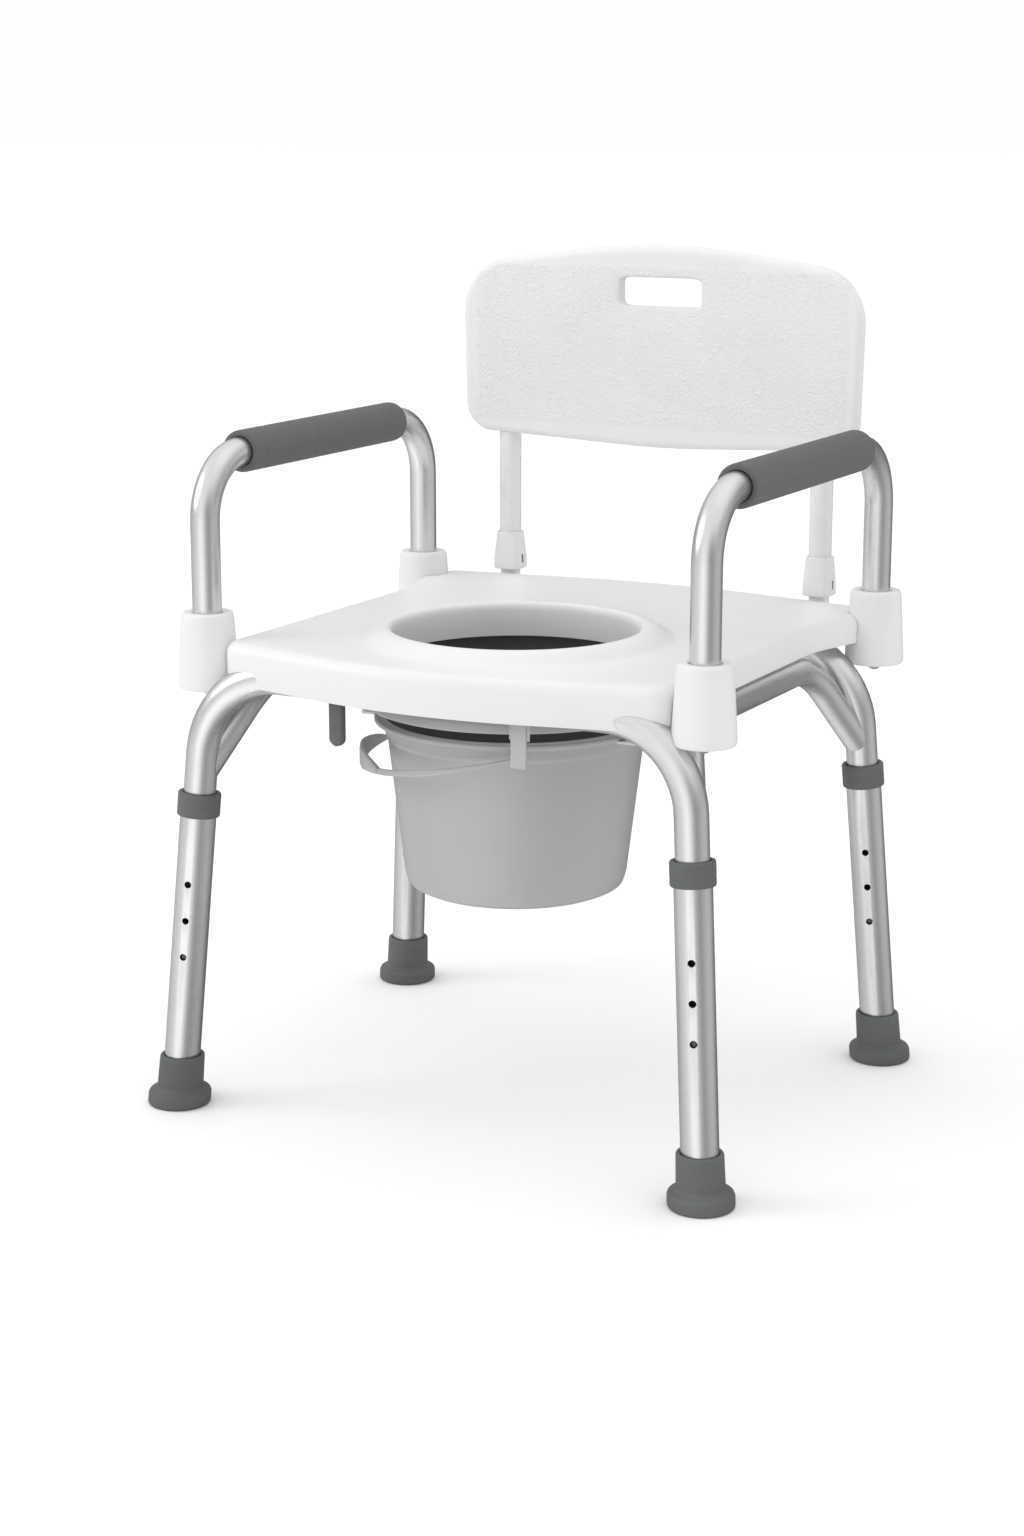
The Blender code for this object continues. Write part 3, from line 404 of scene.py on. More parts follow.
def finish_piece(piece, body, slot, *nodes, edge=0.0, angle=32.0):
    """Round the sharp edges, smooth the rest, tie the piece to its body and hide the imported nodes that it
    stands in for.
    """
    if edge:
        bevel = piece.modifiers.new("edge", "BEVEL")
        bevel.width = edge
        bevel.segments = 2
        bevel.limit_method = "ANGLE"
        bevel.angle_limit = math.radians(angle)
        bake(piece)
    piece.data.shade_smooth()
    piece.data.set_sharp_from_angle(angle=math.radians(angle))
    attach(piece, body)
    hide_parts(*nodes)


def across(direction, hint):
    """Two unit vectors square to `direction`, the first as near `hint` as it can be."""
    direction = direction.normalized()
    first = (hint - direction * direction.dot(hint)).normalized()
    return first, direction.cross(first)


def circle(centre, direction, hint, radius, sides):
    """A ring of points square to `direction`, which starts on the side of `hint`."""
    first, second = across(direction, hint)
    turns = [2.0 * math.pi * i / sides for i in range(sides)]
    return [centre + radius * (first * math.cos(t) + second * math.sin(t)) for t in turns]


def corner_arc(before, corner, after, radius, steps):
    """Points of the arc that rounds one corner."""
    back = (before - corner).normalized()
    ahead = (after - corner).normalized()
    half = back.angle(ahead) / 2.0
    centre = corner + (back + ahead).normalized() * (radius / math.sin(half))
    start = corner + back * (radius / math.tan(half)) - centre
    end = corner + ahead * (radius / math.tan(half)) - centre
    sweep = start.angle(end)
    points = []
    for i in range(steps + 1):
        t = i / steps
        offset = start * math.sin((1.0 - t) * sweep) + end * math.sin(t * sweep)
        points.append(centre + offset / math.sin(sweep))
    return points


def rounded_path(points, radius, steps=14):
    """A path whose inner corners are rounded."""
    path = [points[0]]
    for before, corner, after in zip(points, points[1:], points[2:]):
        path += corner_arc(before, corner, after, radius, steps)
    path.append(points[-1])
    return path


def tube_loops(path, radius, hint, sides):
    """Circles along a path, turned as little as possible from one to the next."""
    loops = []
    side = hint
    for i, point in enumerate(path):
        before = path[max(i - 1, 0)]
        after = path[min(i + 1, len(path) - 1)]
        direction = (after - point).normalized() + (point - before).normalized()
        side, _ = across(direction, side)
        loops.append(circle(point, direction, side, radius, sides))
    return loops


def solid_bar(path, radius, hint, sides=40):
    return loft(tube_loops(path, radius, hint, sides), closed=False)


def hollow_tube(path, radius, bore, hint, sides=40):
    """A bent tube, open at both ends."""
    outside = tube_loops(path, radius, hint, sides)
    inside = tube_loops(path, bore, hint, sides)
    return loft(outside + list(reversed(inside)))


def filleted(profile, radius, closed=True, steps=4):
    """Round every corner of a profile, or all but its two ends."""
    points = [Vector((a, b)) for a, b in profile]
    result = []
    for i, corner in enumerate(points):
        if not closed and i in (0, len(points) - 1):
            result.append(corner)
            continue
        before = points[i - 1]
        after = points[(i + 1) % len(points)]
        reach_back = min(radius, 0.45 * (before - corner).length)
        reach_on = min(radius, 0.45 * (after - corner).length)
        start = corner + (before - corner).normalized() * reach_back
        end = corner + (after - corner).normalized() * reach_on
        for k in range(steps + 1):
            t = k / steps
            result.append(start * (1 - t) ** 2 + corner * (2 * t * (1 - t)) + end * t ** 2)
    return result


def lathe(profile, base, direction, hint, sides=64, closed=True):
    """A turned solid. The profile gives radius and distance along `direction`."""
    loops = [circle(base + direction * h, direction, hint, r, sides) for r, h in profile]
    return loft(loops, closed)


def half_outline(corners, steps, longest=0.010):
    """A closed, mirror-symmetric outline from the corners of its right half."""
    right = [Vector((a, b, 0.0)) for a, b, _ in corners]
    radii = [r for _, _, r in corners]
    ring = right + [Vector((-p.x, p.y, 0.0)) for p in reversed(right[1:-1])]
    radii = radii + list(reversed(radii[1:-1]))
    rough = []
    for i, corner in enumerate(ring):
        rough += corner_arc(ring[i - 1], corner, ring[(i + 1) % len(ring)], radii[i], steps)
    outline = []
    for i, point in enumerate(rough):
        after = rough[(i + 1) % len(rough)]
        pieces = max(1, math.ceil((after - point).length / longest))
        outline += [point.lerp(after, k / pieces) for k in range(pieces)]
    return outline


def inset(outline, distance):
    """The outline moved inwards by a distance."""
    moved = []
    for i, point in enumerate(outline):
        chord = outline[(i + 1) % len(outline)] - outline[i - 1]
        moved.append(point + Vector((-chord.y, chord.x, 0.0)).normalized() * distance)
    return moved


def at_height(loop, height):
    return [Vector((p.x, p.y, height)) for p in loop]


def smooth_step(value, low, high):
    t = min(max((value - low) / (high - low), 0.0), 1.0)
    return t * t * (3.0 - 2.0 * t)


def box_reach(turn, power, half_x=1.0, half_y=1.0):
    """How far a rounded box reaches from its middle at one angle. A higher power squares it more."""
    across_x = abs(math.cos(turn) / half_x) ** power
    across_y = abs(math.sin(turn) / half_y) ** power
    return (across_x + across_y) ** (-1.0 / power)


# ---- legs and frame -----------------------------------------------------------------------
# Profiles give radius and height along the leg.
COLLAR_PROFILE = (
    (0.0162, 0.2650), (0.0183, 0.2650), (0.0189, 0.2662), (0.0189, 0.2715), (0.0186, 0.2722),
    (0.0189, 0.2729), (0.0189, 0.2846), (0.0180, 0.2860), (0.0151, 0.2860), (0.0151, 0.2785),
    (0.0162, 0.2785),
)
FOOT_PROFILE = (
    (0.0268, 0.0000), (0.0280, 0.0016), (0.0280, 0.0098), (0.0268, 0.0124), (0.0222, 0.0142),
    (0.0204, 0.0168), (0.0198, 0.0436), (0.0190, 0.0450), (0.0164, 0.0450), (0.0164, 0.0105),
    (0.0030, 0.0105), (0.0030, 0.0000),
)


def leg_up(sx, sy):
    return Vector((-sx * SPLAY_X, -sy * SPLAY_Y, 1.0)).normalized()


def leg_point(sx, sy, height):
    return Vector((sx * (FOOT_X - SPLAY_X * height), sy * (FOOT_Y - SPLAY_Y * height), height))


def hole_direction(sx, sy):
    flat = Vector((math.sin(HOLE_AZIMUTH), -math.cos(HOLE_AZIMUTH), 0.0))
    return across(leg_up(sx, sy), flat)[0]


def leg_holes(sx, sy):
    """Cutters for one leg's row of holes, through the near walls of both tubes."""
    outward = hole_direction(sx, sy)
    cutters = []
    for height in HOLE_HEIGHTS:
        centre = leg_point(sx, sy, height)
        path = [centre + outward * HOLE_CUT_START, centre + outward * HOLE_CUT_END]
        cutters.append(make("hole", solid_bar(path, HOLE_RADIUS, UP, 20)))
    return cutters


def hoop_path(sy, end):
    points = [leg_point(-1, sy, end), leg_point(-1, sy, HOOP_HEIGHT)]
    points += [leg_point(1, sy, HOOP_HEIGHT), leg_point(1, sy, end)]
    return rounded_path(points, HOOP_BEND)


def rail_path(sx):
    points = [leg_point(sx, -1, RAIL_WELD), Vector((sx * RAIL_X, -RAIL_CORNER_Y, RAIL_HEIGHT))]
    points += [Vector((sx * RAIL_X, RAIL_CORNER_Y, RAIL_HEIGHT)), leg_point(sx, 1, RAIL_WELD)]
    return rounded_path(points, RAIL_BEND)


def hoop_room(sy):
    """The space a hoop takes up, with the gap that its neighbours keep from it."""
    path = hoop_path(sy, HOOP_ROOM_END)
    return make("room", solid_bar(path, FRAME_RADIUS + CUT_GAP, hole_direction(-1, sy)))


def rail_room(sx):
    return make("room", solid_bar(rail_path(sx), ARM_RADIUS + CUT_GAP, RIGHT))


def add_hoop(node, sy):
    shape = hollow_tube(hoop_path(sy, INNER_LEG_END), FRAME_RADIUS, FRAME_BORE, hole_direction(-1, sy))
    hoop = make("tube_" + node, shape, "satin_aluminium")
    carve(hoop, leg_holes(-1, sy) + leg_holes(1, sy))
    finish_piece(hoop, "frame", "satin_aluminium", node)


def add_side_rail(side, sx):
    rail = make("tube_side_rail_" + side, solid_bar(rail_path(sx), ARM_RADIUS, RIGHT), "aluminium_along")
    carve(rail, [hoop_room(-1), hoop_room(1)])
    finish_piece(rail, "frame", "satin_aluminium", "side_rail_" + side)


def add_leg_tube(tag, sx, sy):
    wall = (
        (LEG_RADIUS, LEG_TUBE_BOTTOM), (LEG_RADIUS, LEG_TUBE_TOP),
        (LEG_BORE, LEG_TUBE_TOP), (LEG_BORE, LEG_TUBE_BOTTOM),
    )
    shape = lathe(filleted(wall, 0.0004), leg_point(sx, sy, 0.0), leg_up(sx, sy), hole_direction(sx, sy))
    leg = make("tube_leg_" + tag, shape, "satin_aluminium")
    carve(leg, leg_holes(sx, sy))
    finish_piece(leg, "leg_" + tag, "satin_aluminium", "leg_extension_" + tag, edge=0.0003)


def add_collar(tag, sx, sy):
    profile = filleted(COLLAR_PROFILE, 0.0006)
    shape = lathe(profile, leg_point(sx, sy, 0.0), leg_up(sx, sy), hole_direction(sx, sy))
    collar = make("collar_" + tag, shape, "grey_rubber")
    finish_piece(collar, "leg_" + tag, "grey_rubber", "leg_collar_" + tag)


def add_foot(tag, sx, sy):
    """A rubber foot: level rings whose middles follow the leg's slope."""
    loops = []
    for radius, height in filleted(FOOT_PROFILE, 0.0009, steps=5):
        loops.append(circle(leg_point(sx, sy, height), UP, hole_direction(sx, sy), radius, 64))
    tip = make("tip_" + tag, loft(loops), "grey_rubber")
    finish_piece(tip, "leg_" + tag, "grey_rubber", "foot_" + tag)


add_hoop("front_hoop", -1)
add_hoop("rear_hoop", 1)
for side, sx in SIDES:
    add_side_rail(side, sx)
for tag, (sx, sy) in LEGS.items():
    add_leg_tube(tag, sx, sy)
    add_collar(tag, sx, sy)
    add_foot(tag, sx, sy)


# ---- sockets, bolts, arms and grips -------------------------------------------------------
def socket_axis(sx, sy):
    return Vector((sx * SOCKET_X, SOCKET_FRONT_Y if sy < 0 else SOCKET_REAR_Y, 0.0))


def socket_profile(extra):
    """Radius and height up a socket's outer side, grown by a gap."""
    wide = SOCKET_WIDE_RADIUS + extra
    narrow = SOCKET_NARROW_RADIUS + extra
    return [
        (wide - 0.0010, SOCKET_BOTTOM), (wide, SOCKET_BOTTOM + 0.0030),
        (wide - 0.0003, SOCKET_BOTTOM + 0.0100),
        (narrow, SOCKET_TOP - 0.0040), (narrow - 0.0012, SOCKET_TOP),
    ]


def add_socket(tag, sx, sy):
    bore = [
        (0.0142, SOCKET_TOP), (SOCKET_BORE, SOCKET_TOP - 0.0014),
        (SOCKET_BORE, SOCKET_BORE_BOTTOM), (BOLT_HOLE_RADIUS, SOCKET_BORE_BOTTOM),
    ]
    profile = [(BOLT_HOLE_RADIUS, SOCKET_BOTTOM)] + socket_profile(0.0) + bore
    shape = lathe(filleted(profile, 0.0018), socket_axis(sx, sy), UP, RIGHT)
    socket = make("cup_" + tag, shape, "white_plastic")
    rooms = [hoop_room(sy)]
    if sy < 0:
        rooms.append(rail_room(sx))
    carve(socket, rooms)
    finish_piece(socket, "frame", "white_plastic", "socket_" + tag)


def add_bolt(tag, sx, sy):
    """A domed bolt head under the socket, and its shank."""
    dome = [
        (0.0008, SOCKET_BOTTOM - 0.0068), (0.0030, SOCKET_BOTTOM - 0.0066), (0.0052, SOCKET_BOTTOM - 0.0050),
        (BOLT_HEAD_RADIUS, SOCKET_BOTTOM - 0.0024), (BOLT_HEAD_RADIUS, SOCKET_BOTTOM - 0.0003),
        (BOLT_RADIUS, SOCKET_BOTTOM - 0.0003), (BOLT_RADIUS, BOLT_TOP),
    ]
    rounded = filleted(dome, 0.0008, closed=False)
    shape = lathe(rounded, socket_axis(sx, sy), UP, RIGHT, sides=32, closed=False)
    bolt = make("bolt_" + tag, shape, "zinc_steel")
    finish_piece(bolt, "frame", "zinc_steel", "socket_bolt_" + tag)


def add_arm(side, sx):
    x = sx * SOCKET_X
    corners = [Vector((x, SOCKET_FRONT_Y, ARM_END)), Vector((x, SOCKET_FRONT_Y, ARM_HEIGHT))]
    corners += [Vector((x, SOCKET_REAR_Y, ARM_HEIGHT)), Vector((x, SOCKET_REAR_Y, ARM_END))]
    shape = hollow_tube(rounded_path(corners, ARM_BEND), ARM_RADIUS, ARM_BORE, RIGHT)
    arm = make("tube_arm_" + side, shape, "satin_aluminium")
    finish_piece(arm, "frame", "satin_aluminium", "arm_tube_" + side)


def add_grip(side, sx):
    """A foam sleeve. Its profile gives radius and distance from the front end."""
    length = GRIP_REAR_Y - GRIP_FRONT_Y
    profile = (
        (ARM_RADIUS + 0.0003, 0.0008), (ARM_RADIUS + 0.0016, 0.0), (GRIP_RADIUS - 0.0008, 0.0),
        (GRIP_RADIUS, 0.0030), (GRIP_RADIUS, length - 0.0030),
        (GRIP_RADIUS - 0.0008, length), (ARM_RADIUS + 0.0016, length), (ARM_RADIUS + 0.0003, length - 0.0008),
    )
    start = Vector((sx * SOCKET_X, GRIP_FRONT_Y, ARM_HEIGHT))
    shape = lathe(filleted(profile, 0.0026, steps=5), start, REARWARD, RIGHT)
    grip = make("foam_" + side, shape, "grey_foam")
    finish_piece(grip, "frame", "grey_foam", "arm_grip_" + side)


for tag, (sx, sy) in LEGS.items():
    add_socket(tag, sx, sy)
    add_bolt(tag, sx, sy)
for side, sx in SIDES:
    add_arm(side, sx)
    add_grip(side, sx)


# ---- seat ---------------------------------------------------------------------------------
# The raised lip round the hole: how far each ring lies outside the hole, and its height.
LIP_PROFILE = (
    (0.0000, 0.4215), (0.0003, 0.4245), (0.0010, 0.4268), (0.0021, 0.4285), (0.0036, 0.4296),
    (0.0056, 0.4300), (0.0090, 0.4298), (0.0130, 0.4290), (0.0175, 0.4272), (0.0220, 0.4246),
    (0.0260, 0.4220), (0.0295, 0.4204), (0.0320, 0.4200),
)
# The skirt's rounded lower edge: how far each ring lies inside the outline, and its lift.
SKIRT_ROUNDING = ((0.0, 0.0012), (0.0003, 0.0004), (0.0012, 0.0), (0.0022, 0.0004), (0.0030, 0.0014))


def seat_hole(outline, grow):
    """The oval hole, with one point on the ray to each point of the outline."""
    loop = []
    for point in outline:
        turn = math.atan2((point.y - PAIL_Y) / OPENING_HALF_Y, point.x / OPENING_HALF_X)
        x = (OPENING_HALF_X + grow) * math.cos(turn)
        y = PAIL_Y + (OPENING_HALF_Y + grow) * math.sin(turn)
        loop.append(Vector((x, y, 0.0)))
    return loop


def skirt_edge(loop, lift):
    """The skirt's lower edge: deep at the front, shallower over the side rails and the stubs."""
    edge = []
    for point in loop:
        side_rise = SKIRT_SIDE_RISE * smooth_step(point.y, -0.185, -0.120)
        rear_rise = SKIRT_REAR_RISE * smooth_step(point.y, 0.195, 0.235)
        edge.append(Vector((point.x, point.y, SKIRT_BOTTOM + side_rise + rear_rise + lift)))
    return edge


def seat_rings(outline):
    """The seat as rings: up the hole's wall, over the top, down the skirt and back underneath."""
    rings = [
        at_height(seat_hole(outline, 0.0020), WALL_BOTTOM),
        at_height(seat_hole(outline, 0.0003), WALL_TOP),
    ]
    rings += [at_height(seat_hole(outline, grow), height) for grow, height in LIP_PROFILE]
    lip_foot = seat_hole(outline, LIP_PROFILE[-1][0])
    edge_start = inset(outline, SEAT_EDGE_START)
    for share in (0.25, 0.5, 0.75):
        rings.append(at_height([a.lerp(b, share) for a, b in zip(lip_foot, edge_start)], SEAT_TOP))
    for step in range(8):
        turn = math.pi / 2.0 * step / 7.0
        loop = inset(outline, SEAT_EDGE_RADIUS * (1.0 - math.sin(turn)))
        rings.append(at_height(loop, SEAT_TOP - SEAT_EDGE_RADIUS * (1.0 - math.cos(turn))))
    for distance, lift in SKIRT_ROUNDING:
        rings.append(skirt_edge(inset(outline, distance), lift))
    rings.append(at_height(inset(outline, SKIRT_THICKNESS), SEAT_UNDERSIDE))
    rings.append(at_height(seat_hole(outline, 0.0095), SEAT_UNDERSIDE))
    rings.append(at_height(seat_hole(outline, 0.0070), WALL_BOTTOM))
    return rings


def socket_room(sx, sy):
    """The space round a socket that the seat leaves free."""
    below = [(0.0004, 0.360), (0.0272, 0.360)]
    above = [(0.0232, 0.460), (0.0004, 0.460)]
    profile = below + socket_profile(0.0006)[1:] + above
    return make("socket_room", lathe(profile, socket_axis(sx, sy), UP, RIGHT, closed=False))


def stub_path(x, top):
    """A stub's middle line: rearwards from the rear hoop, then up."""
    rear = leg_point(1, 1, HOOP_HEIGHT).y
    points = [Vector((x, rear, HOOP_HEIGHT)), Vector((x, POST_Y, HOOP_HEIGHT)), Vector((x, POST_Y, top))]
    return rounded_path(points, STUB_BEND)


def stub_room(sx):
    path = stub_path(sx * POST_X, POST_BOTTOM)
    return make("stub_room", solid_bar(path, STUB_ROOM_RADIUS, RIGHT, 24))


def add_seat():
    seat = make("moulded_seat", loft(seat_rings(half_outline(SEAT_CORNERS, 12))), "white_plastic")
    rooms = [hoop_room(-1), hoop_room(1)]
    rooms += [socket_room(sx, sy) for sx, sy in LEGS.values()]
    rooms += [stub_room(sx) for _, sx in SIDES]
    carve(seat, rooms)
    finish_piece(seat, "frame", "white_plastic", "seat_panel", angle=38.0)


add_seat()


# ---- splash guard, pail, bail and hangers -------------------------------------------------
PAIL_CENTRE = Vector((0.0, PAIL_Y, 0.0))
BAIL_AXIS = Vector((math.sin(BAIL_AZIMUTH), -math.cos(BAIL_AZIMUTH), 0.0))
BAIL_MIDDLE = Vector((0.0, PAIL_Y, BAIL_HEIGHT))
GUARD_PROFILE = (
    (0.1205, 0.4092), (0.1205, 0.3760), (0.1270, 0.3685), (0.1285, 0.3620), (0.1310, 0.3620),
    (0.1298, 0.3705), (0.1233, 0.3775), (0.1233, 0.4092),
)


def paint_shade_inside(piece):
    """Give the faces that look in at the pail's axis, and the pail's floor, the painted shade: a dark grey
    that stands for the shadow inside the pail.
    """
    piece.data.materials.append(LOOKS["pail_painted_shade"])
    for face in piece.data.polygons:
        offset = face.center - PAIL_CENTRE - SHIFT
        offset.z = 0.0
        looks_in = face.normal.dot(offset) < -0.2 * offset.length
        is_floor = face.normal.z > 0.5 and face.center.z < PAIL_BOTTOM + 0.030
        if looks_in or is_floor:
            face.material_index = 1


def add_guard():
    shape = lathe(filleted(GUARD_PROFILE, 0.0030), PAIL_CENTRE, UP, RIGHT, 128)
    guard = make("splash_ring", shape, "pail_plastic")
    paint_shade_inside(guard)
    finish_piece(guard, "frame", "pail_plastic", "splash_guard")


def bail_rod(name, sign, start, end, radius, sides):
    """A short rod on the bail's axis, at one side of the pail."""
    path = [BAIL_MIDDLE + BAIL_AXIS * sign * start, BAIL_MIDDLE + BAIL_AXIS * sign * end]
    return make(name, solid_bar(path, radius, UP, sides))


def add_pail():
    foot = PAIL_BOTTOM
    base = PAIL_BASE_RADIUS
    top = PAIL_TOP_RADIUS
    profile = (
        (0.0020, foot + 0.0040), (0.0700, foot + 0.0040), (0.0740, foot), (base - 0.0120, foot),
        (base - 0.0030, foot + 0.0040), (base, foot + 0.0140),
        (top - 0.0016, RIM_TOP - 0.0190), (top + 0.0004, RIM_TOP - 0.0165), (top + 0.0006, RIM_TOP - 0.0070),
        (RIM_RADIUS - 0.0014, RIM_TOP - 0.0050), (RIM_RADIUS, RIM_TOP - 0.0042),
        (RIM_RADIUS, RIM_TOP - 0.0012), (RIM_RADIUS - 0.0020, RIM_TOP),
        (top - 0.0002, RIM_TOP - 0.0002), (top - 0.0025, RIM_TOP - 0.0040),
        (base - 0.0025, foot + 0.0155), (base - 0.0120, foot + 0.0058), (0.0020, foot + 0.0065),
    )
    pail = make("bucket", lathe(filleted(profile, 0.0022), PAIL_CENTRE, UP, RIGHT, 128), "pail_plastic")
    ears = [bail_rod("ear", sign, EAR_START, EAR_END, EAR_RADIUS, 32) for sign in (-1, 1)]
    carve(pail, ears, "UNION")
    paint_shade_inside(pail)
    finish_piece(pail, "pail", "pail_plastic", "pail")


def bail_spot(turn, extra=0.0):
    """A point of the bail's curve, from one ear (0) to the other (pi)."""
    aside = Vector((-math.cos(BAIL_AZIMUTH), -math.sin(BAIL_AZIMUTH), 0.0))
    hang = aside * math.cos(BAIL_DROOP) - UP * math.sin(BAIL_DROOP)
    along = BAIL_AXIS * (BAIL_END + extra) * math.cos(turn)
    return BAIL_MIDDLE + along + hang * (BAIL_REACH + extra) * math.sin(turn)


def band_loops(start, end, count, half, rise, drop):
    """Sections of a flat band along the bail, each with rounded corners."""
    loops = []
    for i in range(count):
        share = i / (count - 1)
        turn = math.pi * (start + (end - start) * share)
        ease = math.sin(math.pi * share) ** 0.7
        top = BAND_HALF_HEIGHT + rise * ease
        bottom = -BAND_HALF_HEIGHT - drop * ease
        centre = bail_spot(turn)
        outward = (bail_spot(turn, 0.01) - centre).normalized()
        loop = []
        for k in range(16):
            angle = 2.0 * math.pi * (k + 0.5) / 16
            reach = box_reach(angle, 5.0)
            height = (top + bottom) / 2.0 + reach * math.sin(angle) * (top - bottom) / 2.0
            loop.append(centre + outward * (reach * math.cos(angle) * half) + UP * height)
        loops.append(loop)
    return loops


def add_bail():
    """The flat band and its two pins, then the broad part that is read as the hand grip."""
    band = band_loops(0.005, 0.995, count=72, half=0.0013, rise=0.0, drop=0.0022)
    wire = make("bail_band", loft(band, closed=False), "pail_plastic")
    pins = [bail_rod("pin", sign, PIN_START, BAIL_END + 0.0008, PIN_RADIUS, 20) for sign in (1, -1)]
    carve(wire, pins, "UNION")
    finish_piece(wire, "bail", "pail_plastic", "bail")
    broad = band_loops(0.34, 0.66, count=36, half=0.0022, rise=0.0120, drop=0.0030)
    hand = make("bail_handle", loft(broad, closed=False), "pail_plastic")
    finish_piece(hand, "bail", "pail_plastic", "bail_grip")


def flat_bar(x, y, half_x, half_y, low, high, sides=32, power=4.0, foot_round=0.0):
    """An upright bar of rounded section, whose lower end may be rounded off."""
    levels = []
    if foot_round:
        for turn in (0.15, 0.5, 0.9, 1.25):
            levels.append((low + foot_round * (1.0 - math.cos(turn)), math.sin(turn)))
    levels += [(low + foot_round, 1.0), (high, 1.0)]
    loops = []
    for z, scale in levels:
        loop = []
        for k in range(sides):
            angle = 2.0 * math.pi * (k + 0.5) / sides
            reach = box_reach(angle, power)
            offset = Vector((half_x * math.cos(angle), half_y * math.sin(angle), 0.0)) * reach
            loop.append(Vector((x, y, z)) + Vector((offset.x * scale, offset.y * max(scale, 0.7), 0.0)))
        loops.append(loop)
    return loft(loops, closed=False)


def add_hangers():
    """A strap with a back plate at the right, a rounded peg at the left. The peg's dark colour is painted
    shade, for the shadow it hangs in.
    """
    shape = flat_bar(HANGER_X, HANGER_Y, HANGER_HALF_WIDTH, 0.0013, HANGER_BOTTOM, HANGER_TOP)
    strap = make("hanger_strap", shape, "pail_plastic")
    plate = make("hanger_plate", flat_bar(HANGER_X, HANGER_Y + 0.0016, 0.0094, 0.0010, 0.3680, HANGER_TOP))
    carve(strap, [plate], "UNION")
    finish_piece(strap, "frame", "pail_plastic", "pail_hanger_right", edge=0.0003)
    shape = flat_bar(
        -HANGER_X, HANGER_Y, HANGER_HALF_WIDTH, 0.0042, HANGER_BOTTOM, HANGER_TOP,
        sides=40, power=3.0, foot_round=0.006,
    )
    # Painted shade: the peg gets the dark colour for the shadow it hangs in, while the strap keeps the pail's
    # grey.
    peg = make("hanger_peg", shape, "dark_plastic")
    finish_piece(peg, "frame", "dark_plastic", "pail_hanger_left")


add_guard()
add_pail()
add_bail()
add_hangers()


# ---- backrest -----------------------------------------------------------------------------
PANEL_OUTLINE = half_outline(PANEL_CORNERS, 14)
# A cuff's outer side: height above its foot, and half its width.
CUFF_SECTIONS = (
    (0.0000, 0.0126), (0.0006, 0.0132), (0.0018, 0.01355), (0.0090, 0.01355), (0.0180, 0.0130),
    (0.0270, 0.0124), (0.0340, 0.0119), (0.0355, 0.0117), (0.0365, 0.0113),
)
CUFF_HEIGHT = CUFF_SECTIONS[-1][0]


def slot_loop(grow):
    """The hand slot, with one point on the ray to each point of the panel's outline."""
    loop = []
    for point in PANEL_OUTLINE:
        turn = math.atan2(point.y - SLOT_HEIGHT, point.x)
        reach = box_reach(turn, 8.0, SLOT_HALF_WIDTH + grow, SLOT_HALF_HEIGHT + grow)
        loop.append(Vector((reach * math.cos(turn), SLOT_HEIGHT + reach * math.sin(turn), 0.0)))
    return loop


def panel_loop(loop, depth):
    """An outline laid on the curved panel. Depth 0 is its front face."""
    points = []
    for p in loop:
        y = PANEL_FRONT_Y - PANEL_CURVE * (p.x / PANEL_HALF_WIDTH) ** 2 + depth
        points.append(Vector((p.x, y, p.y)))
    return points


def face_rings(depth, sign):
    """Rings of one face, from the slot's edge to the outer edge's rounding."""
    slot_edge = slot_loop(SLOT_EDGE_RADIUS)
    border = inset(PANEL_OUTLINE, PANEL_EDGE_RADIUS)
    found = []
    for step in range(5):
        turn = math.pi / 2.0 * step / 4.0
        round_depth = depth + sign * SLOT_EDGE_RADIUS * (1.0 - math.sin(turn))
        found.append(panel_loop(slot_loop(SLOT_EDGE_RADIUS * (1.0 - math.cos(turn))), round_depth))
    for share in (0.2, 0.4, 0.6, 0.8, 1.0):
        found.append(panel_loop([a.lerp(b, share) for a, b in zip(slot_edge, border)], depth))
    for step in range(1, 7):
        turn = math.pi / 2.0 * step / 6.0
        loop = inset(PANEL_OUTLINE, PANEL_EDGE_RADIUS * (1.0 - math.sin(turn)) + 0.0002)
        found.append(panel_loop(loop, depth + sign * 0.0078 * (1.0 - math.cos(turn))))
    return found


def post_channel(sx):
    """The room for one post in the panel's back."""
    x = sx * POST_X
    path = [Vector((x, POST_Y, CHANNEL_BOTTOM)), Vector((x, POST_Y, POST_TOP + 0.001))]
    return make("channel", solid_bar(path, POST_RADIUS + 0.0003, RIGHT))


def add_back_panel():
    rings = face_rings(0.0, 1) + list(reversed(face_rings(PANEL_THICKNESS, -1)))
    panel = make("moulded_back", loft(rings), "back_plastic")
    carve(panel, [post_channel(sx) for _, sx in SIDES])
    finish_piece(panel, "backrest", "white_plastic", "back_panel", angle=40.0)


def add_post(side, sx):
    wall = (
        (POST_RADIUS, POST_BOTTOM), (POST_RADIUS, POST_TOP),
        (POST_BORE, POST_TOP), (POST_BORE, POST_BOTTOM),
    )
    shape = lathe(filleted(wall, 0.0005), Vector((sx * POST_X, POST_Y, 0.0)), UP, RIGHT, 48)
    post = make("upright_" + side, shape, "white_enamel")
    finish_piece(post, "backrest", "white_enamel", "back_post_" + side)


def add_stub(side, sx):
    """The bent stub on the rear hoop, and the peg on it that enters the post."""
    x = sx * POST_X
    loops = tube_loops(stub_path(x, STUB_TOP), STUB_RADIUS, RIGHT, 40)
    peg = ((PEG_RADIUS, STUB_TOP), (PEG_RADIUS, PEG_TOP - 0.001), (PEG_TIP_RADIUS, PEG_TOP))
    for radius, height in peg:
        loops.append(circle(Vector((x, POST_Y, height)), UP, RIGHT, radius, 40))
    stub = make("peg_" + side, loft(loops, closed=False), "white_enamel")
    carve(stub, [hoop_room(1)])
    finish_piece(stub, "frame", "white_enamel", "back_stub_" + side)


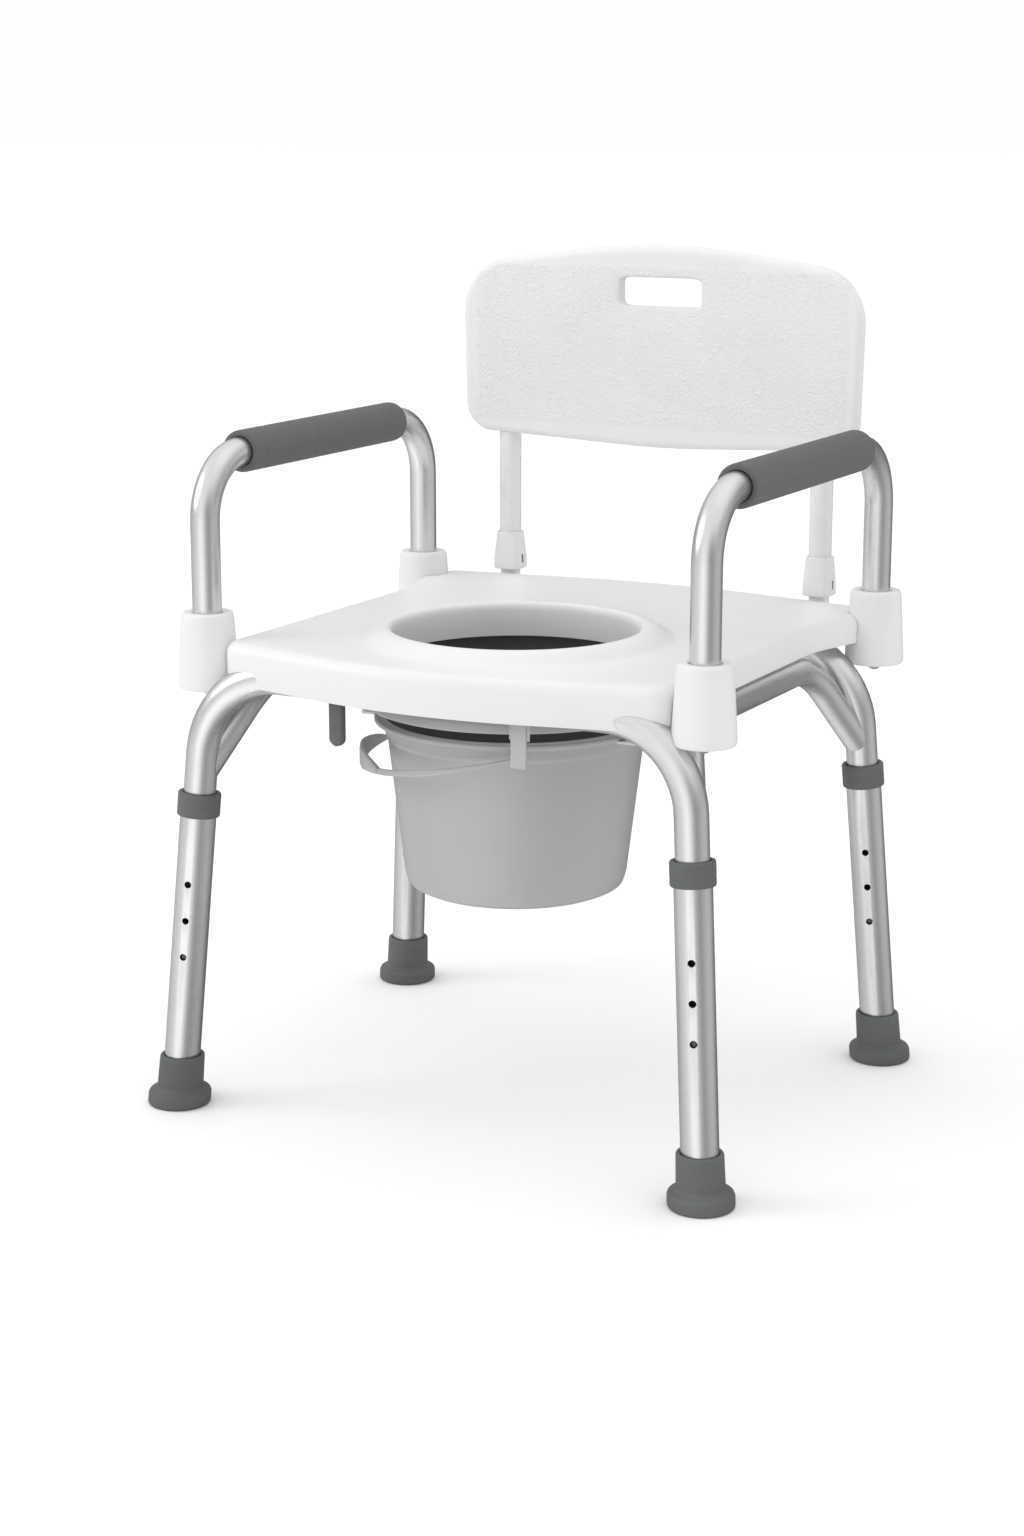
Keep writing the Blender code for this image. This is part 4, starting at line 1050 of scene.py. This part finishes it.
def cuff_loop(x, z, half, power, sides=48):
    """A level ring round a post. Power 2 is a circle, and a higher one is squarer."""
    loop = []
    for i in range(sides):
        turn = 2.0 * math.pi * (i + 0.5) / sides
        reach = half * box_reach(turn, power)
        loop.append(Vector((x + reach * math.cos(turn), POST_Y + reach * math.sin(turn), z)))
    return loop


def add_cuff(side, sx):
    """A square sleeve that grows rounder towards its top, with a window for the latch."""
    x = sx * POST_X
    loops = [cuff_loop(x, CUFF_BOTTOM, CUFF_BORE, 2.0)]
    for lift, half in CUFF_SECTIONS:
        loops.append(cuff_loop(x, CUFF_BOTTOM + lift, half, 5.0 - 2.0 * lift / CUFF_HEIGHT))
    loops.append(cuff_loop(x, CUFF_TOP - 0.0008, CUFF_BORE, 2.0))
    cuff = make("cuff_" + side, loft(loops), "white_plastic")
    low = LATCH_HEIGHT - LATCH_HALF_HEIGHT
    high = LATCH_HEIGHT + LATCH_HALF_HEIGHT
    window = flat_bar(x + 0.0130, POST_Y, 0.0060, 0.0017, low, high, sides=16)
    carve(cuff, [make("window", window)])
    finish_piece(cuff, "backrest", "white_plastic", "back_cuff_" + side)


add_back_panel()
for side, sx in SIDES:
    add_post(side, sx)
    add_stub(side, sx)
    add_cuff(side, sx)


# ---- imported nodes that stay, with finished materials --------------------------------------
KEPT = {
    "pail_rail_left": "white_plastic", "pail_rail_right": "white_plastic",
    "back_latch_left": "dark_plastic", "back_latch_right": "dark_plastic",
}
for tag in LEGS:
    KEPT["leg_button_" + tag] = "dark_plastic"
    KEPT["leg_clip_" + tag] = "zinc_steel"
for node, look in KEPT.items():
    for material_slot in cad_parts[node].material_slots:
        material_slot.material = LOOKS[look]


# ---- floor and light ----------------------------------------------------------------------
# Shiny faces see a studio of bright panels and dark gaps, which draws the bands along the tubes.
# Each pair of PANELS and AWAY_FADE is a place from 0 to 1 across the studio, and a brightness.
SIDEWAYS = Vector((0.88, 0.47, 0.0))
AWAY = Vector((-0.47, 0.88, 0.0))
PANELS = ((0.00, 0.62), (0.22, 1.20), (0.42, 0.95), (0.60, 0.42), (0.78, 0.30), (1.00, 0.60))
AWAY_FADE = ((0.00, 1.00), (0.55, 0.95), (0.85, 0.45), (1.00, 0.25))
FLOOR_HALF = 40.0
FLOOR_HEIGHT = -0.0002
LIGHT_TARGET = Vector((0.0, 0.0, 0.35))
SKY_STRENGTH = 1.19


def grey_ramp(tree, vector, direction, stops):
    """Greys across the studio. Place 1 lies where `direction` points, place 0 opposite."""
    along = tree.nodes.new("ShaderNodeVectorMath")
    along.operation = "DOT_PRODUCT"
    along.inputs[1].default_value = direction
    tree.links.new(vector, along.inputs[0])
    share = tree.nodes.new("ShaderNodeMapRange")
    share.inputs["From Min"].default_value = -1.0
    tree.links.new(along.outputs["Value"], share.inputs["Value"])
    ramp = tree.nodes.new("ShaderNodeValToRGB")
    while len(ramp.color_ramp.elements) < len(stops):
        ramp.color_ramp.elements.new(1.0)
    for element, (position, grey) in zip(ramp.color_ramp.elements, stops):
        element.position = position
        element.color = (grey, grey, grey, 1.0)
    tree.links.new(share.outputs["Result"], ramp.inputs["Fac"])
    return ramp.outputs["Color"]


def bands(tree, vector, sign):
    """The studio's brightness along a reflected ray. The sign turns the vector to point along it."""
    product = tree.nodes.new("ShaderNodeMath")
    product.operation = "MULTIPLY"
    tree.links.new(grey_ramp(tree, vector, SIDEWAYS * sign, PANELS), product.inputs[0])
    tree.links.new(grey_ramp(tree, vector, AWAY * sign, AWAY_FADE), product.inputs[1])
    return product.outputs["Value"]


def floor_paper():
    """Matt white paper, which shows the studio's bands to reflected rays."""
    shader = Shader("floor_paper", 0.85, specular=0.0)
    shader.colour(shader.noise(3.0), (0.94, 0.94, 0.94), (0.945, 0.945, 0.945))
    base_colour = shader.principled.inputs["Base Color"]
    paper = base_colour.links[0].from_socket
    incoming = shader.tree.nodes.new("ShaderNodeNewGeometry").outputs["Incoming"]
    ray = shader.tree.nodes.new("ShaderNodeLightPath")
    mixed = shader.tree.nodes.new("ShaderNodeMix")
    mixed.data_type = "RGBA"
    colour_a, colour_b = mixed.inputs[6], mixed.inputs[7]
    colour_result = mixed.outputs[2]
    shader.link(ray.outputs["Is Glossy Ray"], mixed.inputs["Factor"])
    shader.link(paper, colour_a)
    shader.link(bands(shader.tree, incoming, -1.0), colour_b)
    shader.link(colour_result, base_colour)
    return shader.material


def add_floor():
    mesh = bpy.data.meshes.new("floor")
    corners = [(-1, -1), (1, -1), (1, 1), (-1, 1)]
    mesh.from_pydata([(x * FLOOR_HALF, y * FLOOR_HALF, 0.0) for x, y in corners], [], [(0, 1, 2, 3)])
    mesh.materials.append(floor_paper())
    floor = bpy.data.objects.new("floor", mesh)
    floor.location.z = FLOOR_HEIGHT
    bpy.context.scene.collection.objects.link(floor)


def light_world():
    """Plain sky for matt faces, the studio for reflected rays, near white for the camera."""
    world = bpy.data.worlds.new("studio")
    bpy.context.scene.world = world
    world.use_nodes = True
    tree = world.node_tree
    coordinate = tree.nodes.new("ShaderNodeTexCoord")
    split = tree.nodes.new("ShaderNodeSeparateXYZ")
    tree.links.new(coordinate.outputs["Generated"], split.inputs["Vector"])

    sky = tree.nodes["Background"]
    sky.inputs["Strength"].default_value = SKY_STRENGTH
    ramp = tree.nodes.new("ShaderNodeValToRGB")
    ramp.color_ramp.elements[0].position = 0.02
    ramp.color_ramp.elements[0].color = (0.18, 0.18, 0.185, 1.0)
    ramp.color_ramp.elements[1].position = 0.50
    ramp.color_ramp.elements[1].color = (1.0, 1.0, 1.0, 1.0)
    tree.links.new(split.outputs["Z"], ramp.inputs["Fac"])
    tree.links.new(ramp.outputs["Color"], sky.inputs["Color"])

    # The bands give way to plain white overhead.
    overhead = tree.nodes.new("ShaderNodeMapRange")
    overhead.inputs["From Min"].default_value = 0.25
    overhead.inputs["From Max"].default_value = 0.65
    tree.links.new(split.outputs["Z"], overhead.inputs["Value"])
    reflected = tree.nodes.new("ShaderNodeMix")
    tree.links.new(overhead.outputs["Result"], reflected.inputs["Factor"])
    tree.links.new(bands(tree, coordinate.outputs["Generated"], 1.0), reflected.inputs["A"])
    reflected.inputs["B"].default_value = 1.0
    studio = tree.nodes.new("ShaderNodeBackground")
    tree.links.new(reflected.outputs["Result"], studio.inputs["Color"])

    backdrop = tree.nodes.new("ShaderNodeBackground")
    backdrop.inputs["Color"].default_value = (0.99, 0.99, 0.99, 1.0)

    rays = tree.nodes.new("ShaderNodeLightPath")
    lighting = tree.nodes.new("ShaderNodeMixShader")
    tree.links.new(rays.outputs["Is Glossy Ray"], lighting.inputs["Fac"])
    tree.links.new(sky.outputs["Background"], lighting.inputs[1])
    tree.links.new(studio.outputs["Background"], lighting.inputs[2])
    seen = tree.nodes.new("ShaderNodeMixShader")
    tree.links.new(rays.outputs["Is Camera Ray"], seen.inputs["Fac"])
    tree.links.new(lighting.outputs["Shader"], seen.inputs[1])
    tree.links.new(backdrop.outputs["Background"], seen.inputs[2])
    tree.links.new(seen.outputs["Shader"], tree.nodes["World Output"].inputs["Surface"])


def aim(thing, place, target):
    """Put a lamp or camera somewhere and point it at a target."""
    thing.location = place
    thing.rotation_euler = (target - place).to_track_quat("-Z", "Y").to_euler()
    bpy.context.scene.collection.objects.link(thing)


def softbox(name, place, size, power):
    """A square area light aimed at the middle of the chair."""
    data = bpy.data.lights.new(name, "AREA")
    data.size = size
    data.energy = power
    aim(bpy.data.objects.new(name, data), Vector(place), LIGHT_TARGET)


add_floor()
light_world()
softbox("key", (-2.6, -1.6, 1.9), size=1.6, power=26.0)
softbox("top", (0.6, 0.6, 3.4), size=2.6, power=3.0)
softbox("fill", (2.8, -1.0, 1.6), size=1.6, power=1.5)


# ---- camera -------------------------------------------------------------------------------
# Place, target and lens were solved from the photograph.
CAMERA_PLACE = Vector((1.1087, -2.1451, 0.8773))
CAMERA_TARGET = Vector((-0.0264, -0.0178, 0.2898))
camera_data = bpy.data.cameras.new("camera")
camera_data.lens = 64.86
camera_data.sensor_width = 36.0
camera = bpy.data.objects.new("camera", camera_data)
aim(camera, CAMERA_PLACE, CAMERA_TARGET)
bpy.context.scene.camera = camera
bpy.context.scene.view_settings.view_transform = "Standard"
